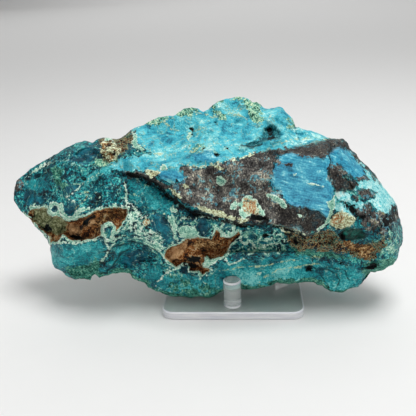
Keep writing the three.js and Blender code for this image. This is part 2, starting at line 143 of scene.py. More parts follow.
# Outlines of the minerals on the front, and of painted shade and painted light where a comment says so.
# Each mark is a cap and its points: inside it the field rises to the cap in millimetres at most. A low cap
# lets the grain break the mark into patches, and one below 0 leaves only crumbs of it.
MARKS = {
    # sky-blue upward face along the crest
    "sky": [
        (9, [(-46, 41), (-42, 36), (-41.5, 32), (-36, 27.5), (-33, 25), (-40, 23.5), (-48, 23), (-56, 21),
             (-58, 17.5), (-52, 15.8), (-40, 16), (-33, 15), (-28, 12.4), (-23, 8), (-19, 9), (-14, 15),
             (-15, 17.8), (-4, 17), (5, 19), (16, 21.8), (30, 24.8), (46, 26.6), (58, 28), (63, 29.5),
             (66, 34), (50, 44), (44, 56), (16, 62), (-20, 54), (-46, 44)]),
        (1.2, [(7, 14), (10, 18.4), (16, 19), (17.6, 16), (15, 13), (9, 11.6)]),
        (0.9, [(3, 7), (7, 6), (10, 2.4), (9, 0.6), (4, 3)]),
        (0.7, [(20, 16.4), (23, 17.2), (26.5, 16.6), (27, 14.6), (22, 14)]),
    ],
    # greenish crumbs of other copper minerals and clay; the mark under the ledge also lifts its shade as
    # painted light
    "crumb_and_painted_light": [
        (1.2, [(12, 57), (11, 53.5), (14, 52.5), (18, 52), (20, 47.5), (22, 44), (24, 41), (27, 39),
               (28.5, 42), (27, 45), (29, 50), (26, 54), (18, 57)]),
        (0.7, [(-19, 46), (-16, 44.5), (-9, 45.5), (-8, 51), (-14, 52), (-19, 49)]),
        (0.6, [(2, 49.5), (6, 46), (10, 44), (12, 42), (6, 42), (3, 45), (0, 50), (4, 54), (7, 53)]),
        (0.5, [(41, 42), (44, 45), (47, 40), (46, 36), (42, 37)]),
        (0.5, [(-34, 44), (-28, 47), (-22, 45), (-30, 41), (-36, 41)]),
        (0.4, [(48, 28), (58, 30), (66, 32), (64, 29), (56, 27.6)]),
        (0.5, [(-11, 28), (-8, 30), (-2, 28.6), (-1, 26.4), (-6, 25.4), (-11, 26)]),
        # painted light: sparse lighter crumbs that lift the ledge's shade
        (-1.5, [(-47, 12), (-34, 8), (-24, 0), (-18, -5), (-24, -8), (-36, -6), (-46, -2)]),
        (1.3, [(-66.8, 21.1), (-64, 23.8), (-59.9, 23), (-54.4, 24.3), (-50.4, 22.8), (-55.2, 19.6),
               (-62.1, 17.7), (-66.2, 18.4)]),
    ],
    # dull green mossy rock
    "moss": [
        (1.5, [(-82.9, -38.5), (-76.3, -37.5), (-69.1, -36.4), (-65.2, -33.2), (-62.5, -34.3), (-65, -40),
               (-67, -44), (-72, -46.5), (-80.7, -44)]),
        (0.9, [(-90.5, 17), (-87.7, 19.1), (-82.8, 17.4), (-84, 12), (-80.8, 8.2), (-85.3, 6.2),
               (-87.4, 9.4), (-90, 15.4)]),
        (0.3, [(-22.8, -43.2), (-15, -43.8), (-10.8, -46.8), (-4, -48.4), (1.2, -50), (1.2, -55), (-8, -57),
               (-22, -57), (-24, -50)]),
        (0.8, [(42, -26), (54, -29), (66, -31), (78, -34), (64, -33.4), (46, -32)]),
        (0.8, [(80, -37), (90, -35), (98, -32), (101, -38), (90, -43), (82, -44)]),
    ],
    # silky, evenly coloured teal; a higher cap also lightens it, so the high caps under the ledge and on the
    # undercut foot are painted light
    "silk_and_painted_light": [
        (3, [(-92, -25), (-84, -24.4), (-76, -25.4), (-70, -24), (-63, -23), (-60, -27), (-61, -33),
             (-65, -37), (-69, -36.4), (-76.3, -37.5), (-82.9, -38.5), (-88, -41), (-93, -36)]),
        (3, [(-64.3, -39.1), (-56.5, -33.3), (-52.1, -26.4), (-45.9, -24.4), (-45.9, -28.5),
             (-50.6, -31.5), (-54.5, -38), (-61.5, -42)]),
        # painted light: lifts the teal in the ledge's shade
        (2.6, [(-47, 12), (-34, 8), (-24, 0), (-18, -5), (-24, -8), (-36, -6), (-46, -2)]),
        (2, [(-34, -36), (-26, -41), (-16, -42), (-4, -43), (0, -39), (2, -60), (-30, -58), (-42, -47)]),
        # painted light: lifts the undercut foot that faces down
        (7, [(-2, -42), (4, -36), (10, -34.6), (24, -34.8), (40, -32.4), (54, -31.4), (57, -42),
             (56, -52), (30, -54), (0, -58)]),
        (2, [(50, -34.4), (56, -33.6), (64, -36), (78, -38), (84, -44), (78, -53), (66, -55), (54, -50)]),
        (3, [(-106.1, 10.3), (-100, 12.3), (-92.8, 13.3), (-91.8, 9.5), (-91.9, 5.2), (-98.5, 4.2),
             (-105.1, 5.4)]),
        (2, [(-72, 13), (-64, 17), (-56, 20), (-49, 22), (-49, 18), (-58, 15), (-66, 9), (-72, 6)]),
    ],
    # dark blue cells between the mint walls
    "pool": [
        (2, [(-35.3, -10.4), (-33.2, -9), (-30.5, -11.8), (-29.2, -15.8), (-30, -19.2), (-32.7, -17.8),
             (-35, -13.7)]),
        (2, [(-31.2, -8.4), (-26.4, -9.1), (-23.8, -13.9), (-21.9, -19.9), (-21.3, -24), (-24, -25.9),
             (-26.7, -23.9), (-27.3, -18.5), (-29.2, -14.5)]),
        (2, [(-18.7, -11.2), (-13.6, -11.6), (-6.9, -11.4), (-1.6, -12.1), (-1.6, -16.1), (-3.7, -21.4),
             (-7.1, -20.7), (-7, -17.4), (-10.3, -14.7), (-17.1, -15.3), (-19.1, -17.9), (-19.7, -13.9)]),
        (1.5, [(6.1, -14.2), (8.7, -13.6), (11, -15.6), (10.7, -18.9), (7.7, -19.5), (5.7, -17.5)]),
        (1.5, [(17.1, -18.9), (23, -19), (23.3, -22), (19.4, -22.5), (17.1, -20.7)]),
        (1.5, [(24.2, -23.8), (31.8, -23.2), (30.1, -25), (24.7, -27.3)]),
        (1.5, [(30.6, -29.7), (35.4, -25.6), (35.9, -29.2), (31.7, -32.7), (25.2, -33.9), (27.6, -30.9)]),
        (1.2, [(11, -32), (15.2, -29), (21.2, -27.3), (19.3, -30.8), (13.4, -33.8)]),
        (1.5, [(-89, -3.5), (-87.4, -3.2), (-86.9, -5.1), (-88.3, -6.4), (-89.3, -5.6)]),
        (2, [(-83.3, -4.1), (-78.8, -1.4), (-74.5, -2.6), (-73.4, -4.2), (-76.2, -5.8), (-79, -8.4),
             (-81.2, -8.4), (-82.5, -6.8)]),
        (1.5, [(-82.3, 7.2), (-78.1, 9.2), (-73.3, 9.1), (-72.3, 7.7), (-74.7, 5.7), (-81, 2.8)]),
        (1, [(-58.9, -15.5), (-56.2, -15.9), (-56.9, -19.6), (-59, -19.5)]),
        (2, [(-51, -36), (-48, -30), (-44, -28), (-36, -29), (-38, -34), (-46, -38)]),
        (2.5, [(-106.2, 4.9), (-101.8, 6.4), (-98.6, 2.6), (-98.1, -1.2), (-103.1, -3.8), (-105.8, 0)]),
        (1.5, [(-98, 1), (-92, 1.4), (-93.1, -0.7), (-97, -1.2)]),
        (1.5, [(-13.4, -40.4), (-18.4, -41.4), (-16.8, -37.6), (-13.8, -37.4)]),
        (1, [(-70, 20), (-62, 24), (-66, 31), (-74, 28), (-80, 22)]),
    ],
    # smooth blue facets
    "panel": [
        (6, [(33.6, 16), (36, 19), (38, 22.5), (42, 24.4), (50, 23.6), (56, 22.2), (61, 21.6),
             (63.6, 24), (64.4, 18), (63.8, 13), (63.6, 9.5), (65.4, 6), (66, 3), (65.6, -2),
             (64.6, -8), (62.6, -13.5), (60, -10.6), (57, -7.6), (52, -7), (46, -5.6), (42, -3),
             (39, 1), (36, 3.8), (32.4, 6), (33.4, 9.6)]),
        (4, [(64.2, 23.8), (66, 26), (70, 26.6), (74, 24.6), (77, 20.5), (82, 15), (84, 11), (80, 9.4),
             (75.6, 10.4), (73, 12.6), (70, 16.6), (67, 17.6), (65.2, 15.6)]),
        (1.2, [(-30, 14.5), (-25, 15.5), (-18, 15), (-13.5, 12), (-14, 10.5), (-18, 9), (-23, 10.5),
               (-28, 11)]),
        (0.8, [(-10, 24), (0, 25.5), (6, 23), (4, 20.4), (-8, 19.6)]),
    ],
    # pale cyan breaks at the right end, and a painted highlight along the ridge
    "pale_and_highlight": [
        (3, [(66.6, 3.4), (70, 3), (74, 1.4), (76.4, -2.4), (80, -2.2), (83, -4.6), (81.4, -7.4),
             (77, -6.4), (72, -3), (69, -2), (66.8, 0)]),
        (1.4, [(74.6, 7), (77.6, 6.2), (79, 4), (77, 2.2), (75, 3)]),
        (2.4, [(79, 8.6), (84, 8), (88, 9), (94, 7), (96, 2), (99, -1), (101, -5), (96, -8.4),
               (93, -10.4), (90, -9), (87.6, -5), (85, -3), (88, -1), (89.4, 1.4), (86, 3.6), (80, 4)]),
        (1.4, [(79, 22.4), (84, 16), (89, 9), (84.6, 9.6), (82.4, 14.8), (78, 20.4)]),
        (0.9, [(65.8, -1), (69, -2.6), (73, -5), (76, -9), (78.4, -12), (75, -11.4), (70, -8.4), (67, -7)]),
        (-1.2, [(94, -17), (101, -15), (104, -24), (102, -33), (96, -33), (93, -26)]),
        # painted highlight: pale crumbs along the lit edge of the ridge
        (-0.2, [(38.4, 36.8), (46.6, 37.3), (54.8, 34.3), (63, 31.1), (58.9, 28.6), (49.3, 27.4),
               (40.4, 28.8)]),
    ],
    # tan clay and weathered chips
    "tan": [
        (1.6, [(66, -10), (69, -8.4), (72.4, -9), (75.6, -11), (79, -12.6), (76.4, -15), (72, -17.6),
               (68, -18.4), (65, -16.4), (63.6, -13.6)]),
        (1.2, [(-7, -4.6), (0, -6), (7, -8.4), (12, -10.6), (20, -12.4), (20, -13.8), (12, -12.8),
               (5, -10.6), (-2, -8), (-7, -6.4)]),
        (0.8, [(-22.4, 5.4), (-20, 4.4), (-17, 0.4), (-18.4, -0.8), (-21, 2.4)]),
        (1.1, [(-37.4, 15.6), (-33, 15.8), (-28.6, 14.8), (-29.4, 12.6), (-33, 11.8), (-36, 13.8)]),
        (0.5, [(-16.4, 9), (-13, 8.6), (-12.4, 6), (-15, 6)]),
        (0.5, [(0, 18), (6, 17.4), (8, 15), (4, 15.6)]),
        (0.1, [(-60, 32), (-55, 31), (-50, 27), (-53, 22), (-60, 23), (-62, 28)]),
        (0.6, [(34, -15), (42, -17.6), (50, -20.4), (46, -19.6), (38, -17.4)]),
    ],
    # sooty black manganese crust
    "crust": [
        (2.4, [(17, 21.6), (23, 23.8), (31, 24.9), (40, 26.2), (50, 27.2), (58, 28.2), (64, 30.6),
               (70, 31.6), (74, 29.6), (77, 24), (73.6, 25.4), (70, 27), (66, 26.6), (62.8, 22.6),
               (60, 20.4), (55, 21), (49, 21.6), (44, 24.4), (38, 23.8), (30, 22), (22, 20)]),
        (4, [(-18, 17.8), (-6, 16.4), (4, 18.6), (14, 20.8), (24, 23), (33, 24.4), (37, 22), (33, 16),
             (33.8, 10), (31.6, 6.2), (36, 2.6), (41, -2.6), (45, -6), (57, -8.4), (61.4, -12),
             (60, -17), (52, -20.4), (40, -16.4), (30, -13.6), (18, -14), (9, -12.4), (2, -9.6),
             (-5, -7.2), (-12, -4.4), (-18, -1), (-22, 2.6), (-25, 8), (-19, 8), (-13.6, 11)]),
        (1.4, [(-49, 15.4), (-44, 15.4), (-36, 14), (-30, 11.6), (-24, 8.4), (-20, 5), (-25, 4.4),
               (-33, 9), (-40, 12), (-47, 12.6)]),
        (1.2, [(75.6, 26), (79, 23.4), (84, 18), (90, 10), (92.6, 6.6), (90, 7.6), (86, 12.4),
               (80.4, 18.6), (76, 23.4)]),
        (1.4, [(35, 21), (38.5, 21), (38, 17.4), (36.4, 16.4), (35.4, 18.6)]),
        (0.9, [(39.6, 18.4), (42, 18.6), (44.6, 18), (44, 16.6), (40.6, 17)]),
        (1.2, [(35, 3.6), (37.4, 3.4), (37.2, 0.6), (35.6, 0.8)]),
        (2, [(64, 14.6), (66.4, 17), (69, 17), (71.6, 14), (73.8, 11.4), (71.4, 10), (75, 8.4),
             (78.6, 8.2), (79, 6), (75.6, 3.4), (71, 4.4), (67.6, 2.6), (66, 5.4), (63.8, 7.6)]),
        (0.9, [(77.4, 9.4), (80.4, 10.2), (84.2, 9.9), (84.4, 8.6), (80, 8)]),
        (1.6, [(80, 3.6), (84.8, 3.6), (86, 1.4), (88.6, 1), (86.6, -0.4), (83.4, -1.6), (81, -0.6),
               (79.4, 1.4)]),
        (1, [(75.6, 1), (78.6, 0.4), (79.2, -2), (76.8, -2.6)]),
        (1.6, [(72, -3.6), (74.4, -4.4), (76.4, -7), (79.4, -6.6), (82, -7.6), (83, -4.6), (85, -3.6),
               (86.8, -5.4), (88, -8.4), (90.4, -10), (88.4, -13), (84, -11), (80, -12.4),
               (76.4, -9.4), (74, -7)]),
        (1.6, [(97, -6.4), (99.8, -5), (102, -10), (98.6, -14.6), (95.6, -16), (93, -13), (96.4, -10.4),
               (98, -9)]),
        (0.3, [(84, -10), (92, -9), (95, -15), (94, -21), (88, -21), (82, -17), (80, -13)]),
        (0.3, [(-112, 10), (-106, 11), (-106, 7), (-112, 5)]),
    ],
    # the blackest of the crust; the mark over the panel's foot is painted shade
    "soot_and_shade": [
        (1.5, [(14, 20), (31, 25.4), (50, 27.6), (64, 31), (74, 30), (78, 24.6), (92, 7), (84, 15),
               (76.6, 24), (70, 26.5), (64, 24), (58, 21.4), (48, 23), (38, 23.6), (24, 21)]),
        # painted shade: a soft dark smear where the panel's foot meets the crust
        (0.9, [(37, -2), (46, -5.4), (56, -6.6), (61, -10), (63, -14), (60, -18), (52, -19), (42, -15),
             (35, -8)]),
        (1.2, [(64, 14.6), (68, 16), (72, 9), (79, 5), (75, 2), (66, 3)]),
        (0.2, [(4, -4), (10, 0), (14, -8), (8, -11), (0, -8)]),
    ],
    # rough brown rock with iron stain
    "rust": [
        (1.1, [(40, -18.6), (48, -21), (54, -20.6), (60, -18.4), (66, -18.6), (69, -24), (80, -26),
               (90, -25), (93, -22), (94, -27), (90, -31), (86, -35.4), (80, -34), (74, -31), (62, -30),
               (55, -28.6), (47, -30), (42, -25)]),
        (-0.4, [(82, -10), (92, -9), (96, -15), (96, -23), (88, -21), (82, -16)]),
        (2, [(-62, 35), (-58, 35), (-50, 35), (-45, 39), (-43, 35), (-42.6, 31), (-46, 30), (-45, 27),
             (-50, 25), (-56, 21), (-60, 22), (-62, 26), (-60.6, 30), (-63, 33)]),
    ],
    # a lump of orange limonite
    "ochre": [
        (1.4, [(69.9, -22.9), (74.6, -24.8), (78.7, -26), (85.5, -26.8), (87.5, -28.9), (85.4, -32.3),
               (82.7, -34.4), (78.7, -31.6), (73.9, -28.8), (70.6, -26)]),
        (-0.1, [(-60, 31), (-55, 30), (-51, 26), (-54, 22.6), (-59, 24), (-61, 28)]),
        (0.4, [(-62, -7), (-56, -6), (-48, -6.4), (-50, -12), (-56, -12), (-62, -15), (-66, -20),
               (-68, -17), (-64, -11)]),
        (0.3, [(-8, -23), (2, -23), (8, -24), (4, -29), (-6, -28), (-14, -27)]),
    ],
    # earthy hollows
    "iron": [
        (9, [(-103.7, -7.3), (-101.5, -4.4), (-95.9, -4), (-92.1, -4.5), (-91.5, -7.2), (-89.4, -9),
             (-86.1, -9.1), (-85, -9.6), (-83.4, -11.3), (-80.1, -12.1), (-76.8, -11.3), (-74.6, -9.8),
             (-70.2, -9.3), (-65.8, -7.1), (-59.3, -5), (-53.9, -5), (-48.5, -5.1), (-46.3, -5.7),
             (-47.7, -9.9), (-50.8, -14.4), (-53.5, -17.4), (-54.6, -14.6), (-55.2, -13.1), (-59.4, -13.6),
             (-61.7, -16.7), (-62.8, -19.3), (-66.1, -21.7), (-72.7, -22.4), (-76, -23.2), (-79.3, -22.6),
             (-81.9, -20.3), (-84.1, -19.2), (-85.7, -20.7), (-87, -23.4), (-90.3, -23.9), (-91.3, -20.7),
             (-96.2, -16.8), (-101.6, -12.2)]),
        (9, [(-26.9, -31.7), (-25.6, -29.3), (-22.5, -26.3), (-18.9, -25.2), (-14.6, -23.4), (-14, -19.2),
             (-12.2, -20.7), (-6.2, -22), (-0.8, -22.3), (1, -20), (1.8, -17.4), (4, -17.8), (4.6, -21.2),
             (9.9, -22.4), (12.3, -21.3), (14.4, -18.4), (15.6, -20.4), (12.9, -23.6), (10.5, -25.4),
             (8.7, -28.4), (6.8, -31.7), (1.4, -33.1), (-1, -34.3), (-2.2, -32.5), (-3.9, -32.2),
             (-4, -34.3), (-5.8, -36.7), (-4.7, -39.1), (-1.1, -39.1), (-1.7, -40.9), (-6.5, -42.1),
             (-7.1, -40.2), (-12.8, -40.2), (-12.7, -37.2), (-13.9, -36), (-17.3, -36.3), (-19.7, -38.1),
             (-23.9, -35.3)]),
    ],
    # olive glaze in the left hollow
    "olive": [
        (2, [(-101.5, -4.4), (-92.1, -4.5), (-90, -9.9), (-85, -9.4), (-81.3, -13.2), (-82.7, -18),
             (-86.9, -19.6), (-90.2, -19), (-95.6, -16.3), (-101.1, -11.9)]),
        (1.6, [(-88.4, -11.5), (-84.5, -11), (-82.4, -13.2), (-82.5, -18), (-85.8, -19.1), (-87.9, -15.8)]),
    ],
    # green glassy pocket
    "pocket": [
        (3, [(69.3, -19.1), (72, -17), (76.1, -16.7), (81.5, -18.5), (84.8, -21.3), (81.4, -23.3),
             (76, -24.6), (71.9, -23.2), (69.2, -21.8)]),
    ],
    # rusty centres of the mint shells
    "heart": [
        (1, [(17.1, -2.4), (18.5, -0.4), (21.3, 0), (24.4, -2.5), (25.7, -6.7), (25, -9.6), (21.2, -9.8),
             (17.7, -8.4)]),
        (0.7, [(66, -10), (69, -8.4), (72, -10), (72, -14), (68, -16), (65, -13)]),
        (0.5, [(-39, -12), (-36, -10), (-34, -13), (-37, -15)]),
    ],
    # the light pebble in the right-hand hollow
    "pebble": [
        (9, [(-26, -32.9), (-25, -30.8), (-22, -28.1), (-18.3, -25.5), (-14.7, -24.9), (-13.8, -27),
             (-15.9, -29.4), (-19, -32.4), (-21.5, -34.8), (-23.3, -35.9), (-25.1, -35.3)]),
        (2.5, [(-81.8, -14.3), (-76.9, -13.3), (-73.1, -15.5), (-73.2, -18.7), (-75.9, -20.3),
               (-80.3, -19.1)]),
        (0.7, [(-71.4, -11.2), (-65.9, -9.7), (-64.3, -11.8), (-67.1, -13.9), (-70.9, -14.9)]),
    ],
    # solid mint and cream
    "mint": [
        (0.6, [(15, -8), (15.4, -3), (17.4, -0.4), (20.6, 1), (23, 0), (26, -3), (28.6, -6.6), (30.2, -10.2),
             (26.6, -9.8), (23, -9), (21, -10.6), (17.4, -12), (15, -10.4)]),
        (0.6, [(29.4, 1.4), (31.4, 2.4), (34, 1.2), (38, -1.4), (41.8, -4.4), (41, -6.2), (38.4, -6),
               (36, -3.4), (32, -0.4)]),
        (1.6, [(2.4, 11.4), (5, 12), (8, 9.4), (7.2, 7), (4.6, 6.4), (2.8, 8.4)]),
        (1, [(10, -6.4), (11, -3), (13.4, -1.6), (14.6, -3.4), (13, -6.4)]),
        (1.2, [(-28.4, 18.4), (-26.4, 19), (-23.8, 17), (-25, 15.6), (-28, 16.2)]),
        (1.6, [(-44.6, 39), (-42, 37), (-40.8, 34), (-41, 31.6), (-39, 29.4), (-36, 27.6), (-38, 26.4),
               (-43, 28.4), (-43.6, 31.6), (-42.6, 34)]),
        (0, [(-46.7, -2.1), (-44, -2.8), (-41.3, -5.6), (-38.6, -9), (-34.5, -8.4), (-37.3, -11.7),
               (-38.1, -15.7), (-36.1, -17.4), (-30.6, -18.5), (-27.3, -22.6), (-26, -26.6), (-29.5, -29.3),
               (-33.5, -27.9), (-34.8, -23.8), (-38.2, -21.1), (-44.3, -18.3), (-47, -19), (-48.3, -15.6)]),
        (0.7, [(-24.7, -9.1), (-21.7, -9.2), (-19.7, -11.9), (-20.1, -15.2), (-19.8, -19.3), (-17.9, -24),
               (-19.9, -24.3), (-21.9, -19.2), (-23.8, -14.5)]),
        (0.8, [(-19.1, -18.6), (-17.8, -15.9), (-13, -14.6), (-9, -15.4), (-7.4, -18.7), (-8.4, -22.1),
               (-13.1, -22.7), (-17.8, -21.6)]),
        (0.6, [(-23.7, -5.1), (-20.9, -3.8), (-18.6, -5.9), (-19, -7.9), (-21.7, -7.5)]),
        (0.8, [(-4.6, -33.1), (-2.2, -32.5), (-1, -34.3), (2.6, -33.1), (6.2, -32.5), (3.8, -34.6),
               (-0.4, -36.7), (-3.4, -37.9), (-5.2, -36.1), (-2.8, -34.9)]),
        (1.2, [(63.4, -3), (66.6, 0), (67, -5), (66, -10), (64, -14.6), (60, -17.6), (57.6, -19.2),
               (57, -18), (61, -15), (63, -10)]),
        (0.8, [(43.8, 11.8), (44.6, 12.8), (46.2, 12.8), (45.6, 11.2)]),
        (0.6, [(52.6, 7), (56, 6.8), (60.6, 6), (60.4, 5), (55, 5.8)]),
        (0.7, [(46, -9), (48, -9.8), (50.6, -11), (49, -11.6), (46.6, -10.6)]),
        (0.8, [(-13.5, 33), (-11.5, 36), (-10.5, 34), (-12.5, 31.5)]),
        (0.7, [(23.9, -41.3), (26.9, -40.7), (26.9, -42.5), (24.5, -42.8)]),
        (0.6, [(-60, 35), (-55, 34), (-54, 32.4), (-59, 33)]),
    ],
    # holes, pockets and the crack under the ledge, painted near black as the shade that falls in them
    "shade_in_holes": [
        (0.5, [(-46.9, 15), (-42, 14.4), (-34.9, 12), (-28.5, 7.6), (-23.1, 2.6), (-15.9, -3),
               (-8.6, -7), (-1, -9.2), (7.5, -11.2), (14.7, -13.5), (23.6, -14.6), (32.1, -14.6),
               (43.5, -17.6), (50.6, -21.2), (50, -22), (43, -18.8), (32, -15.6), (23, -16.2),
               (14, -15.8), (6.8, -13.8), (-2, -11.4), (-9.6, -9.2), (-17, -5.2), (-24.2, 0.6),
               (-29.6, 5.4), (-36, 9.4), (-42, 12), (-47.6, 13.2)]),
        (1.2, [(27, -21), (28.6, -19.4), (30.6, -20), (30.4, -22), (28, -22.4)]),
        (1.2, [(39.4, -21.6), (41, -20), (43, -21), (42, -22.8)]),
        (0.9, [(43, -23), (46, -22.4), (48, -25), (45, -25.4)]),
        (0.9, [(-72.4, 12.4), (-70.4, 12.8), (-70.2, 10.2), (-72, 10.4)]),
        (1.2, [(50.4, -39.6), (52.4, -37.2), (54.8, -39), (53, -40.6)]),
        (1.2, [(82, -38.8), (84, -37), (88.6, -36.6), (89, -38.8), (84.6, -39.8)]),
        (0.8, [(69, -35), (70.8, -35.2), (70.4, -36.8), (69, -36.6)]),
        (1.4, [(-73, -13.8), (-71, -11), (-66, -8.6), (-64.6, -9.4), (-68, -12.2), (-70.4, -15)]),
        (1.2, [(-81, -20.4), (-76, -22.8), (-71, -21.4), (-74, -19.8), (-78, -19.4)]),
        (1, [(-97, -15), (-92, -18), (-90, -16), (-92, -13.6)]),
        (0.1, [(-15, -33), (-10, -32), (-6, -34), (-8, -38), (-12, -38.6), (-16, -36.6)]),
        (0.3, [(31, 37.4), (33, 38), (34, 34), (35.4, 31.6), (32, 31), (31.6, 34)]),
        (0.5, [(72.5, -3.9), (76.2, -5.3), (78.9, -9.5), (82.9, -11.3), (82.2, -13.7), (77.5, -12.2),
               (74.1, -8.7)]),
        (0.1, [(92.3, -13.1), (95.7, -9.7), (97.8, -5.6), (99.8, -7), (99.1, -11.8), (95.7, -15.9),
               (93, -16.5)]),
        (0.8, [(-11.6, 39), (-9.8, 39), (-9, 36.4), (-10.4, 35)]),
        (0.9, [(1.8, 24), (3, 24.8), (4.8, 24.2), (3.5, 22.3)]),
        (0.7, [(6.5, 28), (8, 27.2), (11, 26.2), (11.5, 27), (9, 27.6)]),
        (0.7, [(0.5, 41.5), (3, 42), (4.5, 40.5), (2, 40)]),
        (0.7, [(-4.6, 27.6), (-2, 27.6), (-2.6, 25.8), (-5, 26.2)]),
        (0.9, [(69, -20), (71, -19), (72, -23.6), (69.6, -23.6)]),
        (0.7, [(21, -10.4), (25, -9.8), (29, -10.6), (31, -12.6), (27, -13.4), (22, -13)]),
    ],
    # a dent in the upward face, painted a darker blue-green as the shade in it, with its own specks
    "shaded_dent": [
        (3, [(16.5, 29.6), (20, 27.2), (25, 27.2), (29, 29.4), (33, 30.6), (37.5, 31.6), (39, 34.4),
             (36.4, 37.6), (32, 39.4), (29.4, 37.4), (27.6, 33.6), (24.6, 31), (20, 30)]),
    ],
    # where the mint vein network is dense
    "lace": [
        (1.4, [(-63, -13), (-56, -13), (-50, -6), (-46, -4), (-38, -9), (-34, -12), (-33, -17),
             (-27, -24), (-24, -29), (-30, -34), (-38, -26), (-48, -23), (-56, -27), (-60, -22)]),
        (2.4, [(-25, -8), (-16, -9), (-4, -12), (10, -15.4), (24, -17), (38, -19), (42, -23), (44, -28),
             (36, -31), (24, -33), (12, -31), (14, -22), (2, -19), (-10, -16), (-16, -15), (-24, -22)]),
        (1, [(-30, -35), (-22, -38), (-12, -41), (-2, -41), (4, -37), (-4, -46), (-20, -45)]),
        (-1, [(-98, 22), (-86, 26), (-70, 22), (-62, 14), (-66, 0), (-78, -2), (-92, -4), (-94, 10)]),
        (2, [(-46, 24.6), (-40, 27), (-30, 25), (-28, 21), (-34, 19), (-44, 20)]),
        (1.8, [(86, -24), (100, -16), (103, -28), (96, -38), (84, -36), (76, -34), (86, -30)]),
    ],
}

